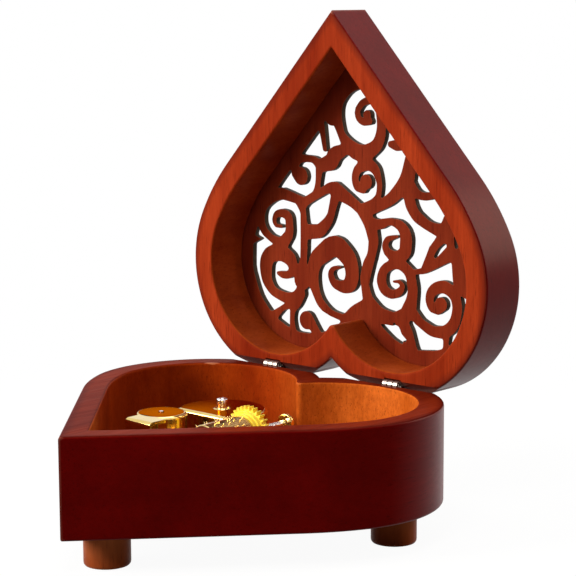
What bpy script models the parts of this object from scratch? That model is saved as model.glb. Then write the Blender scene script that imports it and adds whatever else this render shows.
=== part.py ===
"""Heart-shaped wooden music box with a hinged fretwork lid and a wind-up comb movement.

The heart is symmetric about X = 0. Its tip points to -Y, and the lobes with the two hinges are
at +Y. The box stands on three feet at Z = 0, with the lid open at its stop.
Sizes are in millimetres and plan positions are measured from the tip of the heart. The mesh
helpers turn them into metres.
"""
import math

import bmesh
import bpy
import numpy as np
from mathutils import Matrix, Vector

MM = 0.001

# Heart outline, the same for base and lid
# LOBE_SPREAD is how far each lobe's centre stands from the middle, as a share of its radius
HALF_ANGLE = math.radians(42.3)
SHOULDER_RADIUS = 66.0
SHOULDER_TURN = math.radians(16.0)
LOBE_RADIUS = 34.2
LOBE_SPREAD = 0.6657
CLEFT_ROUND = 1.5
SHOULDER_STEPS = 4
LOBE_STEPS = 20
WALL = 7.3

# Wooden box
FOOT_HEIGHT = 9.5
FOOT_RADIUS = 6.4
FOOT_EDGE = 0.5
BASE_HEIGHT = 28.0
LID_DEPTH = 16.2
FLOOR_THICKNESS = 3.0
LEDGE = 3.5
CLEARANCE = 0.3
TIP_FOOT_Y = 16.4
FOOT_INSET = 11.9
FOOT_TURN = math.radians(14.3)

# Hinges let into the bevel at the back of the lobes
HINGE_INSET = 3.87
HINGE_ASIDE = 0.8
BEVEL_AHEAD = 1.2
KNUCKLE_WIDTH = 1.6
KNUCKLE_RADIUS = 1.35
HINGE_PIN_RADIUS = 0.5
LEAF_THICKNESS = 0.8
LEAF_DEPTH = 8.0
OPEN_ANGLE = math.radians(90.0)

# Fretwork panel, let into the lid from outside
PANEL_THICKNESS = 1.9
PANEL_LEDGE = 3.0
FRET_BORDER = 4.4
DRAWN_LOBE_RADIUS = 34.2
FRET_GRID = 0.42
FRET_FILLET = 0.8
FRET_FACET = math.radians(10.5)

# Movement: bedplate, from the barrel's axis
BED_X = (-29.5, 25.0)
BED_AHEAD = 32.3
BED_BEHIND = 15.7
BED_THICKNESS = 2.2
BED_CORNER = 4.0

# Movement: spring housing, arbor and key
BARREL_X = -14.2
BARREL_AHEAD = 1.87
HOUSING_RADIUS = 13.4
HOUSING_FLAT = 8.5
HOUSING_RISE = 21.0
SHEET = 1.0
LUG_REACH = 2.2
LUG_WIDTH = 4.4
LUG_HEIGHT = 3.0
LUG_ANGLES = (45.0, 105.0, 165.0)
ARBOR_RADIUS = 1.65
ARBOR_STANDS_OUT = 3.0
KEY_WIDTH = 17.0
KEY_DEPTH = 5.4
KEY_THICKNESS = 1.6
KEY_HUB_RADIUS = 2.9
KEY_GROUND_GAP = 1.0
SPRING_TURNS = 3
SPRING_STRIP = 0.4
SPRING_HEIGHT = 8.6

# Movement: gears
MODULE = 0.6
DRIVE_TEETH = 42
TRANSFER_TEETH = 28
WHEEL_THICKNESS = 1.6
CROWN_LENGTH = 1.5
FINE_MODULE = 0.48
FINE_CROWN_LENGTH = 0.9
CYLINDER_TEETH = 30
CROWN_TEETH = 20
DRIVE_CROWN_TEETH = 36
PINION_TEETH = 8
PINION_LENGTH = 2.2
WORM_WHEEL_TEETH = 14
WORM_WHEEL_RADIUS = 3.57
WORM_WHEEL_THICKNESS = 1.2
TOOTH_SHARE = 0.36
CROWN_TOOTH_SHARE = 0.25
ADDENDUM = 0.85
DEDENDUM = 1.2
STUD_RADIUS = 1.2
STUD_HEAD_RADIUS = 2.1
STUD_HEAD_HEIGHT = 1.2

# Movement: pinned cylinder and comb
CYLINDER_X = 6.2
CYLINDER_RISE = 18.8
CYLINDER_ARBOR_RADIUS = 1.0
CYLINDER_GEAR_WIDTH = 1.9
DRUM_RADIUS = 5.2
DRUM_AHEAD = 28.6
COLLAR_STEP = 1.0
COLLAR_RISE = 1.0
INNER_COLLAR_RISE = 0.4
GEAR_HUB_RADIUS = 3.0
GEAR_HUB_LENGTH = 1.2
PIN_HEIGHT = 0.55
PIN_WIDTH = 0.42
PINS_PER_NOTE = 2
NOTES = 18
NOTE_PITCH = 0.84
COMB_TOOTH_WIDTH = 0.5
COMB_TOOTH_LENGTH = 6.4
COMB_TAPER = 1.8
COMB_BASE = 5.6
COMB_THICKNESS = 0.9
COMB_SCREW_RADIUS = 0.9
COMB_SCREW_HEAD = 1.9
BRACKET_THICKNESS = 1.2
BRACKET_WIDTH = 9.0
BRACKET_FOOT = 3.4

# Movement: governor
GOVERNOR_X = -19.4
GOVERNOR_AHEAD = 19.8
GOVERNOR_RISE = 22.5
GOVERNOR_RADIUS = 7.4
GOVERNOR_SKIRT = 6.8
TAB_X = (-21.6, -11.6)
TAB_AHEAD = 31.9
SHAFT_RADIUS = 0.6
WORM_CORE_RADIUS = 0.95
WORM_THREAD_RADIUS = 1.95
WORM_TURNS = 3
FAN_RADIUS = 5.7
FAN_BLADES = 4

# Plan places that follow from the heart: its lobes, hinges and feet, and the movement inside
LOBE_HEADING = math.pi / 2 - HALF_ANGLE + SHOULDER_TURN
LOBE_X = LOBE_SPREAD * LOBE_RADIUS
SIDE_RUN = (
    LOBE_X + SHOULDER_RADIUS * math.cos(HALF_ANGLE) - (SHOULDER_RADIUS - LOBE_RADIUS) * math.sin(LOBE_HEADING)
) / math.sin(HALF_ANGLE)
LOBE_Y = (
    SIDE_RUN * math.cos(HALF_ANGLE)
    + SHOULDER_RADIUS * math.sin(HALF_ANGLE)
    - (SHOULDER_RADIUS - LOBE_RADIUS) * math.cos(LOBE_HEADING)
)
HINGE_Y = LOBE_Y + LOBE_RADIUS - HINGE_INSET
HINGE_X = LOBE_X + HINGE_ASIDE
BEVEL_START_Y = HINGE_Y - BEVEL_AHEAD
LOBE_FOOT_X = LOBE_X + (LOBE_RADIUS - FOOT_INSET) * math.cos(FOOT_TURN)
LOBE_FOOT_Y = LOBE_Y + (LOBE_RADIUS - FOOT_INSET) * math.sin(FOOT_TURN)
BARREL_Y = LOBE_Y - BARREL_AHEAD
BED_Y = (BARREL_Y - BED_AHEAD, BARREL_Y + BED_BEHIND)
DRUM_START_Y = BARREL_Y - DRUM_AHEAD
GOVERNOR_Y = BARREL_Y - GOVERNOR_AHEAD
TAB_END_Y = BARREL_Y - TAB_AHEAD

# Levels that follow from the sizes above
BASE_TOP = FOOT_HEIGHT + BASE_HEIGHT
HINGE_Z = BASE_TOP + CLEARANCE / 2
LID_BOTTOM = BASE_TOP + CLEARANCE
PANEL_Z = LID_BOTTOM + LID_DEPTH - PANEL_THICKNESS
FLOOR_TOP = FOOT_HEIGHT + FLOOR_THICKNESS
BED_TOP = FLOOR_TOP + CLEARANCE + BED_THICKNESS
STAND = BED_TOP + CLEARANCE
WHEEL_TOP = STAND + WHEEL_THICKNESS
HOUSING_TOP = FOOT_HEIGHT + HOUSING_RISE
GOVERNOR_TOP = FOOT_HEIGHT + GOVERNOR_RISE
CYLINDER_Z = FOOT_HEIGHT + CYLINDER_RISE

# Gear radii and centres that follow from the tooth counts
DRIVE_RADIUS = DRIVE_TEETH * MODULE / 2
TRANSFER_RADIUS = TRANSFER_TEETH * MODULE / 2
DRIVE_CROWN_RADIUS = DRIVE_CROWN_TEETH * MODULE / 2
PINION_RADIUS = PINION_TEETH * MODULE / 2
CYLINDER_GEAR_RADIUS = CYLINDER_TEETH * FINE_MODULE / 2
CROWN_RADIUS = CROWN_TEETH * FINE_MODULE / 2
WORM_PITCH = 2 * math.pi * WORM_WHEEL_RADIUS / WORM_WHEEL_TEETH
TRANSFER_Y = BARREL_Y - math.sqrt((DRIVE_RADIUS + TRANSFER_RADIUS) ** 2 - (CYLINDER_X - BARREL_X) ** 2)
CYLINDER_GEAR_Y = TRANSFER_Y - CROWN_RADIUS + (FINE_CROWN_LENGTH - CYLINDER_GEAR_WIDTH) / 2
PINION_Y = BARREL_Y - DRIVE_CROWN_RADIUS
DRIVE_CROWN_Z = WHEEL_TOP + MODULE * DEDENDUM + CLEARANCE
GOVERNOR_SHAFT_Z = DRIVE_CROWN_Z + PINION_RADIUS
HOUSING_BOTTOM = DRIVE_CROWN_Z + MODULE * ADDENDUM + CLEARANCE

# The origin lies under the middle of the open box
TIP_Y = -(HINGE_Y + CLEARANCE / 2 + LID_DEPTH) / 2

# Turns that lay a shape drawn in X and Y along another axis
ALONG_X = Matrix(((0, 0, 1, 0), (1, 0, 0, 0), (0, 1, 0, 0), (0, 0, 0, 1)))
ALONG_Y = Matrix.Rotation(-math.pi / 2, 4, "X")


# Scene, collections and materials

for old in list(bpy.data.objects):
    bpy.data.objects.remove(old, do_unlink=True)

PARTS = bpy.data.collections.new("music_box")
CUTTERS = bpy.data.collections.new("cutters")
for group in (PARTS, CUTTERS):
    bpy.context.scene.collection.children.link(group)

# Colour, roughness, metallic
FINISHES = {
    "stained_wood": ((0.22, 0.035, 0.015), 0.35, 0.0),
    "plain_wood": ((0.30, 0.08, 0.03), 0.6, 0.0),
    "gold_plate": ((0.85, 0.55, 0.22), 0.22, 1.0),
    "steel": ((0.72, 0.72, 0.74), 0.25, 1.0),
    "brass": ((0.78, 0.57, 0.25), 0.3, 1.0),
    "yellow_nylon": ((0.85, 0.60, 0.12), 0.45, 0.0),
    "brown_nylon": ((0.12, 0.06, 0.03), 0.5, 0.0),
    "nickel": ((0.80, 0.74, 0.70), 0.3, 1.0),
}


def finish(name, colour, roughness, metallic):
    """One Principled material."""
    material = bpy.data.materials.new(name)
    material.use_nodes = True
    shader = material.node_tree.nodes["Principled BSDF"]
    shader.inputs["Base Color"].default_value = (*colour, 1.0)
    shader.inputs["Roughness"].default_value = roughness
    shader.inputs["Metallic"].default_value = metallic
    material.diffuse_color = (*colour, 1.0)
    return material


# Objects: empties on the axes, parts and their cutters

def axis_empty(name, place, parent=None, tilt=0.0):
    """An empty on a joint axis, which carries what turns about it."""
    empty = bpy.data.objects.new(name, None)
    empty.location = Vector(place) * MM
    empty.rotation_euler.x = tilt
    empty.empty_display_size = 0.005
    empty.parent = parent
    PARTS.objects.link(empty)
    return empty


ORIGIN = axis_empty("box_origin", (0, TIP_Y, 0))


def carry(obj, parent):
    """Hang an object on an axis while its mesh keeps the coordinates of the closed box."""
    obj.parent = parent
    if parent is not ORIGIN:
        obj.matrix_parent_inverse = Matrix.Translation(-parent.location)


def part(name, mesh, colour, parent=ORIGIN):
    """One sub-part with its own material."""
    obj = bpy.data.objects.new(name, mesh)
    mesh.name = name
    mesh.materials.clear()
    mesh.materials.append(finish(name, *FINISHES[colour]))
    mesh.shade_smooth()
    mesh.set_sharp_from_angle(angle=math.radians(30))
    PARTS.objects.link(obj)
    carry(obj, parent)
    return obj


def shape(obj, operation, meshes):
    """Boolean modifiers whose other solids wait among the cutters."""
    for mesh in meshes:
        tool = bpy.data.objects.new(f"{obj.name}_{operation.lower()}_{len(obj.modifiers)}", mesh)
        tool.display_type = "WIRE"
        tool.hide_render = True
        CUTTERS.objects.link(tool)
        carry(tool, obj.parent)
        step = obj.modifiers.new(tool.name, "BOOLEAN")
        step.operation = operation
        step.solver = "EXACT"
        step.object = tool


def cut(obj, *meshes):
    """Cut solids away."""
    shape(obj, "DIFFERENCE", meshes)


def fuse(obj, *meshes):
    """Join solids on."""
    shape(obj, "UNION", meshes)


# Solids

def mesh_from(name, bm):
    """Mesh data from a bmesh."""
    mesh = bpy.data.meshes.new(name)
    bm.to_mesh(mesh)
    bm.free()
    return mesh


def evaluated(holder):
    """The mesh of a temporary object as it is displayed, and the object is removed."""
    bpy.context.scene.collection.objects.link(holder)
    graph = bpy.context.evaluated_depsgraph_get()
    mesh = bpy.data.meshes.new_from_object(holder.evaluated_get(graph))
    bpy.data.objects.remove(holder, do_unlink=True)
    return mesh


def box(x, y, z, spin=0.0, about=(0, 0)):
    """A block between two limits on each axis, spun about a vertical line."""
    bm = bmesh.new()
    bmesh.ops.create_cube(bm, size=1.0)
    size = [(b - a) * MM for a, b in (x, y, z)]
    middle = [(a + b) / 2 for a, b in (x, y, z)]
    pivot = Vector((*about, 0)) * MM
    place = Matrix.Translation(Vector(middle) * MM - pivot) @ Matrix.Diagonal((*size, 1))
    bm.transform(Matrix.Translation(pivot) @ Matrix.Rotation(spin, 4, "Z") @ place)
    return mesh_from("box", bm)


def rod(radius, span, centre, axis="Z", sides=24):
    """A cylinder along an axis; centre holds the other two coordinates in X, Y, Z order."""
    bm = bmesh.new()
    bmesh.ops.create_cone(
        bm, cap_ends=True, segments=sides, radius1=radius * MM, radius2=radius * MM, depth=(span[1] - span[0]) * MM
    )
    middle = (span[0] + span[1]) / 2
    turn, place = {
        "Z": (Matrix(), (centre[0], centre[1], middle)),
        "Y": (ALONG_Y, (centre[0], middle, centre[1])),
        "X": (ALONG_X, (middle, centre[0], centre[1])),
    }[axis]
    bm.transform(Matrix.Translation(Vector(place) * MM) @ turn)
    return mesh_from("rod", bm)


def plate(outlines, span, turn=Matrix(), place=(0, 0, 0)):
    """A flat outline with its holes, filled as a 2D curve and extruded over a span of heights."""
    curve = bpy.data.curves.new("plate", "CURVE")
    curve.dimensions = "2D"
    curve.fill_mode = "BOTH"
    curve.extrude = (span[1] - span[0]) / 2 * MM
    for outline in outlines:
        spline = curve.splines.new("POLY")
        spline.points.add(len(outline) - 1)
        for point, (x, y) in zip(spline.points, outline):
            point.co = (x * MM, y * MM, 0, 1)
        spline.use_cyclic_u = True
    mesh = evaluated(bpy.data.objects.new("plate", curve))
    bpy.data.curves.remove(curve)
    bm = bmesh.new()
    bm.from_mesh(mesh)
    bmesh.ops.remove_doubles(bm, verts=bm.verts, dist=0.000001)
    rise = Matrix.Translation((0, 0, (span[0] + span[1]) / 2 * MM))
    bm.transform(Matrix.Translation(Vector(place) * MM) @ turn @ rise)
    bmesh.ops.recalc_face_normals(bm, faces=bm.faces)
    bm.to_mesh(mesh)
    bm.free()
    return mesh


def turned(profile, centre, sides):
    """A profile of (radius, height) pairs, top to bottom, spun about a vertical line."""
    mesh = bpy.data.meshes.new("turned")
    mesh.from_pydata([(r * MM, 0, z * MM) for r, z in profile], [(i, i + 1) for i in range(len(profile) - 1)], [])
    holder = bpy.data.objects.new("turned", mesh)
    spin = holder.modifiers.new("spin", "SCREW")
    spin.steps = sides
    spin.render_steps = sides
    spin.use_merge_vertices = True
    spin.merge_threshold = 0.000001
    result = evaluated(holder)
    result.transform(Matrix.Translation((centre[0] * MM, centre[1] * MM, 0)))
    return result


def joined(meshes):
    """Several separate solids as the one mesh of a cutter."""
    bm = bmesh.new()
    for mesh in meshes:
        bm.from_mesh(mesh)
        bpy.data.meshes.remove(mesh)
    return mesh_from("joined", bm)


# Outlines

def circle(radius, centre=(0, 0), sides=24):
    """A round outline."""
    angles = [2 * math.pi * i / sides for i in range(sides)]
    return [(centre[0] + radius * math.cos(a), centre[1] + radius * math.sin(a)) for a in angles]


def heart(inset):
    """The heart drawn in by a distance: straight side, shoulder arc and lobe arc up to the cleft."""
    half = [(0.0, inset / math.sin(HALF_ANGLE))]
    x = SIDE_RUN * math.sin(HALF_ANGLE) - SHOULDER_RADIUS * math.cos(HALF_ANGLE)
    y = SIDE_RUN * math.cos(HALF_ANGLE) + SHOULDER_RADIUS * math.sin(HALF_ANGLE)
    radius = SHOULDER_RADIUS - inset
    for i in range(SHOULDER_STEPS):
        a = LOBE_HEADING - SHOULDER_TURN * (1 - i / SHOULDER_STEPS)
        half.append((x + radius * math.sin(a), y - radius * math.cos(a)))
    radius = LOBE_RADIUS - inset
    nose = CLEFT_ROUND if inset else 0.0
    cleft = math.pi + math.asin(LOBE_X / (radius + nose))
    for i in range(LOBE_STEPS + 1):
        a = LOBE_HEADING + (cleft - LOBE_HEADING) * i / LOBE_STEPS
        half.append((LOBE_X + radius * math.sin(a), LOBE_Y - radius * math.cos(a)))
    if not inset:
        half.pop()
    half.append((0.0, LOBE_Y + math.sqrt((radius + nose) ** 2 - LOBE_X ** 2) - nose))
    return half + [(-x, y) for x, y in half[-2:0:-1]]


def toothed(teeth, radius, phase, share=TOOTH_SHARE):
    """A gear outline with tapered teeth, one of them centred on the phase angle."""
    module = 2 * radius / teeth
    tip = radius + ADDENDUM * module
    root = radius - DEDENDUM * module
    width = share * math.pi * module
    points = []
    for i in range(teeth):
        middle = phase + 2 * math.pi * i / teeth
        for r, half in ((root, -0.68), (tip, -0.30), (tip, 0.30), (root, 0.68)):
            a = middle + half * width / r
            points.append((r * math.cos(a), r * math.sin(a)))
    return points


def crown(teeth, radius, length, levels, centre, phase):
    """The upright teeth of a crown wheel."""
    width = CROWN_TOOTH_SHARE * 2 * math.pi * radius / teeth
    blocks = []
    for i in range(teeth):
        angle = phase + 2 * math.pi * i / teeth
        x = (centre[0] + radius - length / 2, centre[0] + radius + length / 2)
        y = (centre[1] - width / 2, centre[1] + width / 2)
        blocks.append(box(x, y, levels, angle, centre))
    return joined(blocks)


# Wooden box: base ring, floor and feet

def bevel(level, up):
    """The wedge that takes the back edge off the mating face."""
    reach = 20.0
    far = level + (reach if up else -reach)
    outline = [(BEVEL_START_Y, level), (BEVEL_START_Y + reach, far), (BEVEL_START_Y + reach, 2 * level - far)]
    return plate([outline], (-60, 60), ALONG_X)


def hinge_recess(side, up):
    """The round groove for a barrel, and the slot for its leaf."""
    x = side * HINGE_X
    half = 1.5 * KNUCKLE_WIDTH + 2 * CLEARANCE
    groove = rod(KNUCKLE_RADIUS + CLEARANCE, (x - half, x + half), (HINGE_Y, HINGE_Z), "X", 16)
    edge = LEAF_THICKNESS / 2 + CLEARANCE
    deep = LEAF_DEPTH + CLEARANCE
    z = (HINGE_Z, HINGE_Z + deep) if up else (HINGE_Z - deep, HINGE_Z)
    return [groove, box((x - half, x + half), (HINGE_Y - edge, HINGE_Y + edge), z)]


base_frame = part("base_frame", plate([heart(0), heart(WALL)], (FOOT_HEIGHT, BASE_TOP)), "stained_wood")
cut(base_frame, plate([heart(WALL - LEDGE)], (FOOT_HEIGHT - 1, FLOOR_TOP + CLEARANCE)))
cut(base_frame, bevel(BASE_TOP, False))
for side in (-1, 1):
    cut(base_frame, *hinge_recess(side, False))

base_floor = part(
    "base_floor",
    plate(
        [heart(WALL - LEDGE + CLEARANCE), circle(ARBOR_RADIUS + CLEARANCE, (BARREL_X, BARREL_Y))],
        (FOOT_HEIGHT, FLOOR_TOP),
    ),
    "plain_wood",
)

FEET = {"foot_tip": (0, TIP_FOOT_Y), "foot_left": (-LOBE_FOOT_X, LOBE_FOOT_Y), "foot_right": (LOBE_FOOT_X, LOBE_FOOT_Y)}
for name, centre in FEET.items():
    top = FOOT_HEIGHT - CLEARANCE
    profile = [(0, top), (FOOT_RADIUS, top), (FOOT_RADIUS, FOOT_EDGE), (FOOT_RADIUS - FOOT_EDGE, 0), (0, 0)]
    part(name, turned(profile, centre, 32), "stained_wood")


# Lid: drawn closed on the base and tipped back about its hinge

LID = axis_empty("lid_axis", (0, HINGE_Y, HINGE_Z), ORIGIN, -OPEN_ANGLE)

lid_frame = part("lid_frame", plate([heart(0), heart(WALL)], (LID_BOTTOM, LID_BOTTOM + LID_DEPTH)), "stained_wood", LID)
cut(lid_frame, plate([heart(WALL - PANEL_LEDGE)], (PANEL_Z - CLEARANCE, PANEL_Z + 2 * PANEL_THICKNESS)))
cut(lid_frame, bevel(LID_BOTTOM, True))
for side in (-1, 1):
    cut(lid_frame, *hinge_recess(side, True))


# Lid: fretwork panel, scrolls that taper and end in round eyes

# Each scroll runs through (across, up the open panel, width), drawn for a lobe of DRAWN_LOBE_RADIUS
SCROLLS = {
    "top_scroll": (
        (0.4, 86.8, 4), (-4.1, 85.6, 4), (-8.1, 82.8, 3.8), (-9.6, 78.8, 3.6), (-9.5, 74.7, 3.4),
        (-7.9, 70.2, 3.2), (-3.6, 66.3, 5), (0.9, 65.5, 5), (5.5, 67.9, 4.2), (7.4, 72.4, 3.7),
        (7, 77.8, 3.4), (4.5, 81, 2.6), (0.8, 80.8, 2.2), (-1.6, 78.4, 2.2), (-1.4, 76, 2.2),
        (0.6, 74.7, 2.1), (3, 75, 2),
    ),
    "top_web": ((-2.6, 90.8, 6), (-6.1, 86.3, 6), (-10.9, 79.8, 5), (-12, 75.5, 4.8)),
    "upper_post": ((-16.1, 72.7, 2.6), (-15.5, 70.2, 2.2), (-14.8, 65.9, 1.6)),
    "knot": ((-7.1, 66, 3.6), (-10.7, 64.3, 5.2), (-12.3, 62.2, 5.4), (-15.7, 60.9, 4)),
    "left_stem": (
        (-15.9, 61.1, 3.2), (-17.1, 59.1, 2.8), (-17.6, 55.1, 2.2), (-18.9, 51.8, 2.4),
        (-22.7, 49.2, 2.6),
    ),
    "left_stem_curl": (
        (-16.9, 60.8, 3.2), (-19.2, 62.3, 2.4), (-21.7, 62.6, 2.2), (-24.8, 62.2, 2.4),
        (-27, 60.2, 2.6), (-27.1, 57.6, 2.6),
    ),
    "middle_curl": (
        (1.4, 49.2, 3), (4.5, 50.8, 2.6), (6.4, 53.2, 2.1), (6.7, 57, 2.2), (5.1, 60.7, 3.2),
        (2.1, 62.1, 3.8), (-1.3, 60.7, 3.2), (-2.7, 58, 2.7), (-1.9, 55.2, 2.7), (0.4, 54.5, 2.6),
    ),
    "arch": (
        (-24.8, 48.3, 2.4), (-20.7, 50.2, 2.2), (-16.7, 52.2, 2.2), (-13.2, 54, 3.2),
        (-10.2, 53.8, 4.4), (-7.1, 51.9, 4.2), (-4.1, 50.5, 3.4), (-1.1, 48.7, 3.4), (1.9, 46.9, 3.8),
    ),
    "arch_branch": (
        (-10.3, 53.6, 4), (-10.9, 50.6, 3.4), (-11.9, 47.5, 2.9), (-12.5, 45.5, 3), (-14.1, 43.1, 3.6),
        (-17.2, 40.5, 4.4), (-21.2, 39.9, 4.6),
    ),
    "left_trunk": (
        (-25.1, 48.7, 2.8), (-23.9, 46.5, 2.6), (-23.5, 44.5, 2.5), (-23.2, 39.5, 2.8),
        (-23.2, 35.5, 2.6), (-23.6, 31.4, 2.8), (-24.1, 27.9, 4), (-24.8, 24.4, 5),
    ),
    "left_scroll": (
        (-23.2, 48.7, 2.8), (-26.3, 49.9, 3.2), (-29.3, 50.5, 3.6), (-32.6, 51, 3.7),
        (-36.8, 49.5, 3.4), (-40.4, 46.5, 3.2), (-41.5, 42.8, 3.2), (-40.5, 39.4, 3),
        (-37.4, 36.8, 2.7), (-33.8, 35.8, 2.8),
    ),
    "left_scroll_curl": (
        (-31.4, 36.3, 4.2), (-29.7, 38.5, 3.6), (-29.4, 41.5, 3.2), (-30, 44, 3.2), (-32.3, 44.9, 2.7),
        (-34.8, 44.4, 2.2), (-35.8, 42.5, 1.8), (-35, 40.9, 1.3), (-32.8, 40.7, 1.1),
    ),
    "lower_left_scroll": (
        (-25, 20.1, 3.6), (-28.8, 18.6, 3.1), (-32.5, 18.5, 3.4), (-36.4, 20, 3.3), (-38.9, 23.1, 4.3),
        (-39.5, 27, 5.2), (-38.9, 29.8, 5.5), (-36.8, 31.7, 5.4), (-32.8, 32.3, 5.4),
        (-29.1, 30.6, 4.8), (-28, 27.7, 3.6), (-29.8, 25.8, 2.6), (-32.3, 25.4, 2.2),
        (-34.3, 25.8, 1.2),
    ),
    "thorn": ((-48.9, 35.7, 4), (-45.9, 35.8, 3), (-43.9, 35.9, 2), (-41.9, 36.1, 0.5)),
    "left_foot": (
        (-25.1, 20.3, 4), (-26.4, 17.3, 3.6), (-28, 14.8, 2.4), (-28.5, 11.8, 2.1), (-28.1, 8.8, 2.4),
        (-28, 6.2, 3),
    ),
    "left_leaf": (
        (-28.3, 16.6, 3), (-30.8, 15.6, 2), (-33, 14.5, 2), (-35.8, 12.3, 3), (-38.9, 10.3, 4),
    ),
    "lower_left_curl": ((-16.7, 5.2, 4), (-18.3, 8.3, 3.6), (-20.1, 10.9, 3.4), (-21.7, 12.1, 4)),
    "centre_scroll": (
        (-5.6, 14.3, 2.4), (-8.6, 14.6, 2.2), (-11.8, 15.3, 2.2), (-15.7, 17.4, 3), (-18.3, 21, 3.4),
        (-19.6, 25.9, 4.4), (-19.1, 29.6, 5), (-16.8, 33, 6), (-10.7, 36.3, 6.6), (-5.6, 33.4, 6),
        (-3.9, 29.2, 5.4), (-4.5, 25.6, 5.2), (-7.1, 24.1, 4), (-10.9, 24.8, 2.8), (-12.4, 27.4, 2.3),
        (-11.3, 29.3, 1.6), (-8.4, 30, 0.6),
    ),
    "trunk": (
        (0.8, 46.9, 4), (2.8, 44.5, 4.4), (3.8, 41.9, 4.4), (4.5, 38.9, 3.9), (3.7, 34.7, 3.4),
        (2.3, 31.6, 3.9), (1.4, 28, 3.8), (1.3, 25.2, 3.4), (2.3, 21.6, 4), (3.9, 18.3, 6),
    ),
    "root": (
        (-6.6, 13.8, 3.2), (-2.1, 15.8, 6.5), (2.9, 17.8, 7), (7.5, 16.8, 5), (12.5, 16.3, 4.2),
        (16.5, 17.3, 4.5),
    ),
    "right_curl": (
        (3.7, 44.8, 2.8), (7, 44.4, 3.1), (10.7, 45.5, 2.2), (14.5, 44.7, 3.2), (16.6, 42.5, 4.2),
        (17, 39.7, 4.6), (16.4, 36.7, 4.4), (13.7, 35.1, 3.8), (10.5, 35.9, 3), (9.1, 37.9, 2.5),
        (9.9, 40, 2), (12.1, 40.9, 1.3), (13.8, 41.3, 0.8),
    ),
    "lower_right_curl": (
        (17.7, 18.9, 5), (19.3, 22.9, 4.2), (19.5, 26.9, 3.7), (18.1, 31, 3.7), (14.7, 32.9, 3.2),
        (11.1, 32.4, 3), (8.5, 30.5, 3.2), (7.7, 27.4, 3.7), (8.9, 24.8, 3.4), (11.7, 23.7, 2.8),
        (14.5, 24.7, 2.5), (15.7, 26.6, 1.8), (14.4, 27.7, 1.2), (12.3, 27.6, 0.7),
    ),
    "right_leaf": (
        (19.1, 31, 1.4), (22.1, 31.6, 1.6), (23.8, 32.2, 2.4), (25.5, 34, 4.4), (27.8, 36.5, 6.4),
        (31.1, 39, 8.5), (35.2, 40.5, 9),
    ),
    "right_mass": (
        (34.7, 46, 9), (37.2, 41.5, 11), (38.5, 36.5, 9.5), (39.2, 31.4, 10), (40.2, 28.9, 8),
    ),
    "right_scroll": (
        (18.6, 19.8, 4.2), (20.9, 17.6, 3.4), (23.5, 15.7, 3.2), (27.6, 14.2, 3.4), (31.9, 14.7, 3.8),
        (35, 17.5, 3.8), (36.1, 21.9, 3.6), (35.1, 25.6, 3.8), (32.2, 27.6, 3.9), (29.2, 27.5, 3.7),
        (26.8, 26, 3.4), (25.9, 23.6, 3), (26.8, 21.3, 2.8), (28.9, 20.7, 2.8),
    ),
    "lower_right_foot": ((15, 17.3, 4), (16.2, 15.1, 4), (17.7, 12.3, 4.4), (18.8, 8.3, 4.8)),
    "lower_right_post": ((32.2, 12.9, 2.2), (31.9, 9.3, 1.8), (31.9, 6.8, 2.2)),
    "right_stem": (
        (2.2, 48.1, 3.4), (5.5, 49.5, 3.2), (7.9, 50.4, 3.4), (12, 53, 4), (15.7, 56.6, 4.8),
        (17.7, 60.1, 5), (19.1, 64.7, 5), (22.1, 69.2, 5),
    ),
    "right_stem_branch": (
        (17.5, 58.6, 4.6), (17.7, 55.1, 4.2), (18.5, 51.6, 4.1), (19.8, 49.2, 3.8), (21.6, 47.4, 3.6),
        (25.1, 45.5, 3.2), (29.1, 44.4, 3.9), (33.7, 44.5, 6),
    ),
    "right_vine": (
        (19.1, 56.6, 3), (21, 54.6, 2.8), (23.6, 53.9, 2.4), (26.6, 54.5, 2.4), (30.6, 57.1, 2.4),
        (33.7, 59.6, 3),
    ),
    "petal": ((21.6, 70.2, 4), (16.5, 68.9, 3.6), (13.5, 68.3, 3.2), (10.9, 68.6, 2)),
}

# Round ends: across, up, radius
EYES = (
    (2, 76.9, 1.5), (1.6, 56.8, 2.3), (-24.6, 57, 2.8), (-22.4, 12, 2.9), (30.2, 22.5, 2.2),
    (-24, 24.7, 3.2),
)

# Narrow slits sawn into the broad leaves, given like the scrolls
SLITS = {
    "leaf_vein": ((27.9, 36.4, 0.9), (29.4, 38.3, 1.4), (31.4, 40, 1.3)),
    "border_slit": ((35.2, 42.9, 0.9), (35.6, 40.1, 1.3)),
    "foot_slit": ((12.7, 14.7, 1), (14.1, 12.3, 1.4), (16.8, 10.3, 1.1)),
}


def smooth_path(points, steps=5):
    """A Catmull-Rom curve through points of any number of values."""
    knots = np.array(points, dtype=float)
    knots = np.vstack((2 * knots[0] - knots[1], knots, 2 * knots[-1] - knots[-2]))
    path = []
    for a, b, c, d in zip(knots, knots[1:], knots[2:], knots[3:]):
        for i in range(steps):
            t = i / steps
            path.append(0.5 * (2 * b + (c - a) * t + (2 * a - 5 * b + 4 * c - d) * t * t
                               + (3 * b - a - 3 * c + d) * t ** 3))
    path.append(knots[-2])
    return np.array(path)


def on_panel(path):
    """A path drawn up the open panel, laid on the closed one."""
    path[:, 1] = HINGE_Y - path[:, 1]
    return path


def stroke(x, y, path):
    """Distance from each point to the edge of a stroke whose half width varies along its path."""
    nearest = np.full(x.shape, 1000.0)
    for (ax, ay, aw), (bx, by, bw) in zip(path, path[1:]):
        dx, dy = bx - ax, by - ay
        t = np.clip(((x - ax) * dx + (y - ay) * dy) / max(dx * dx + dy * dy, 1e-9), 0, 1)
        away = np.hypot(x - ax - t * dx, y - ay - t * dy)
        nearest = np.minimum(nearest, away - (aw + t * (bw - aw)) / 2)
    return nearest


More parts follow.
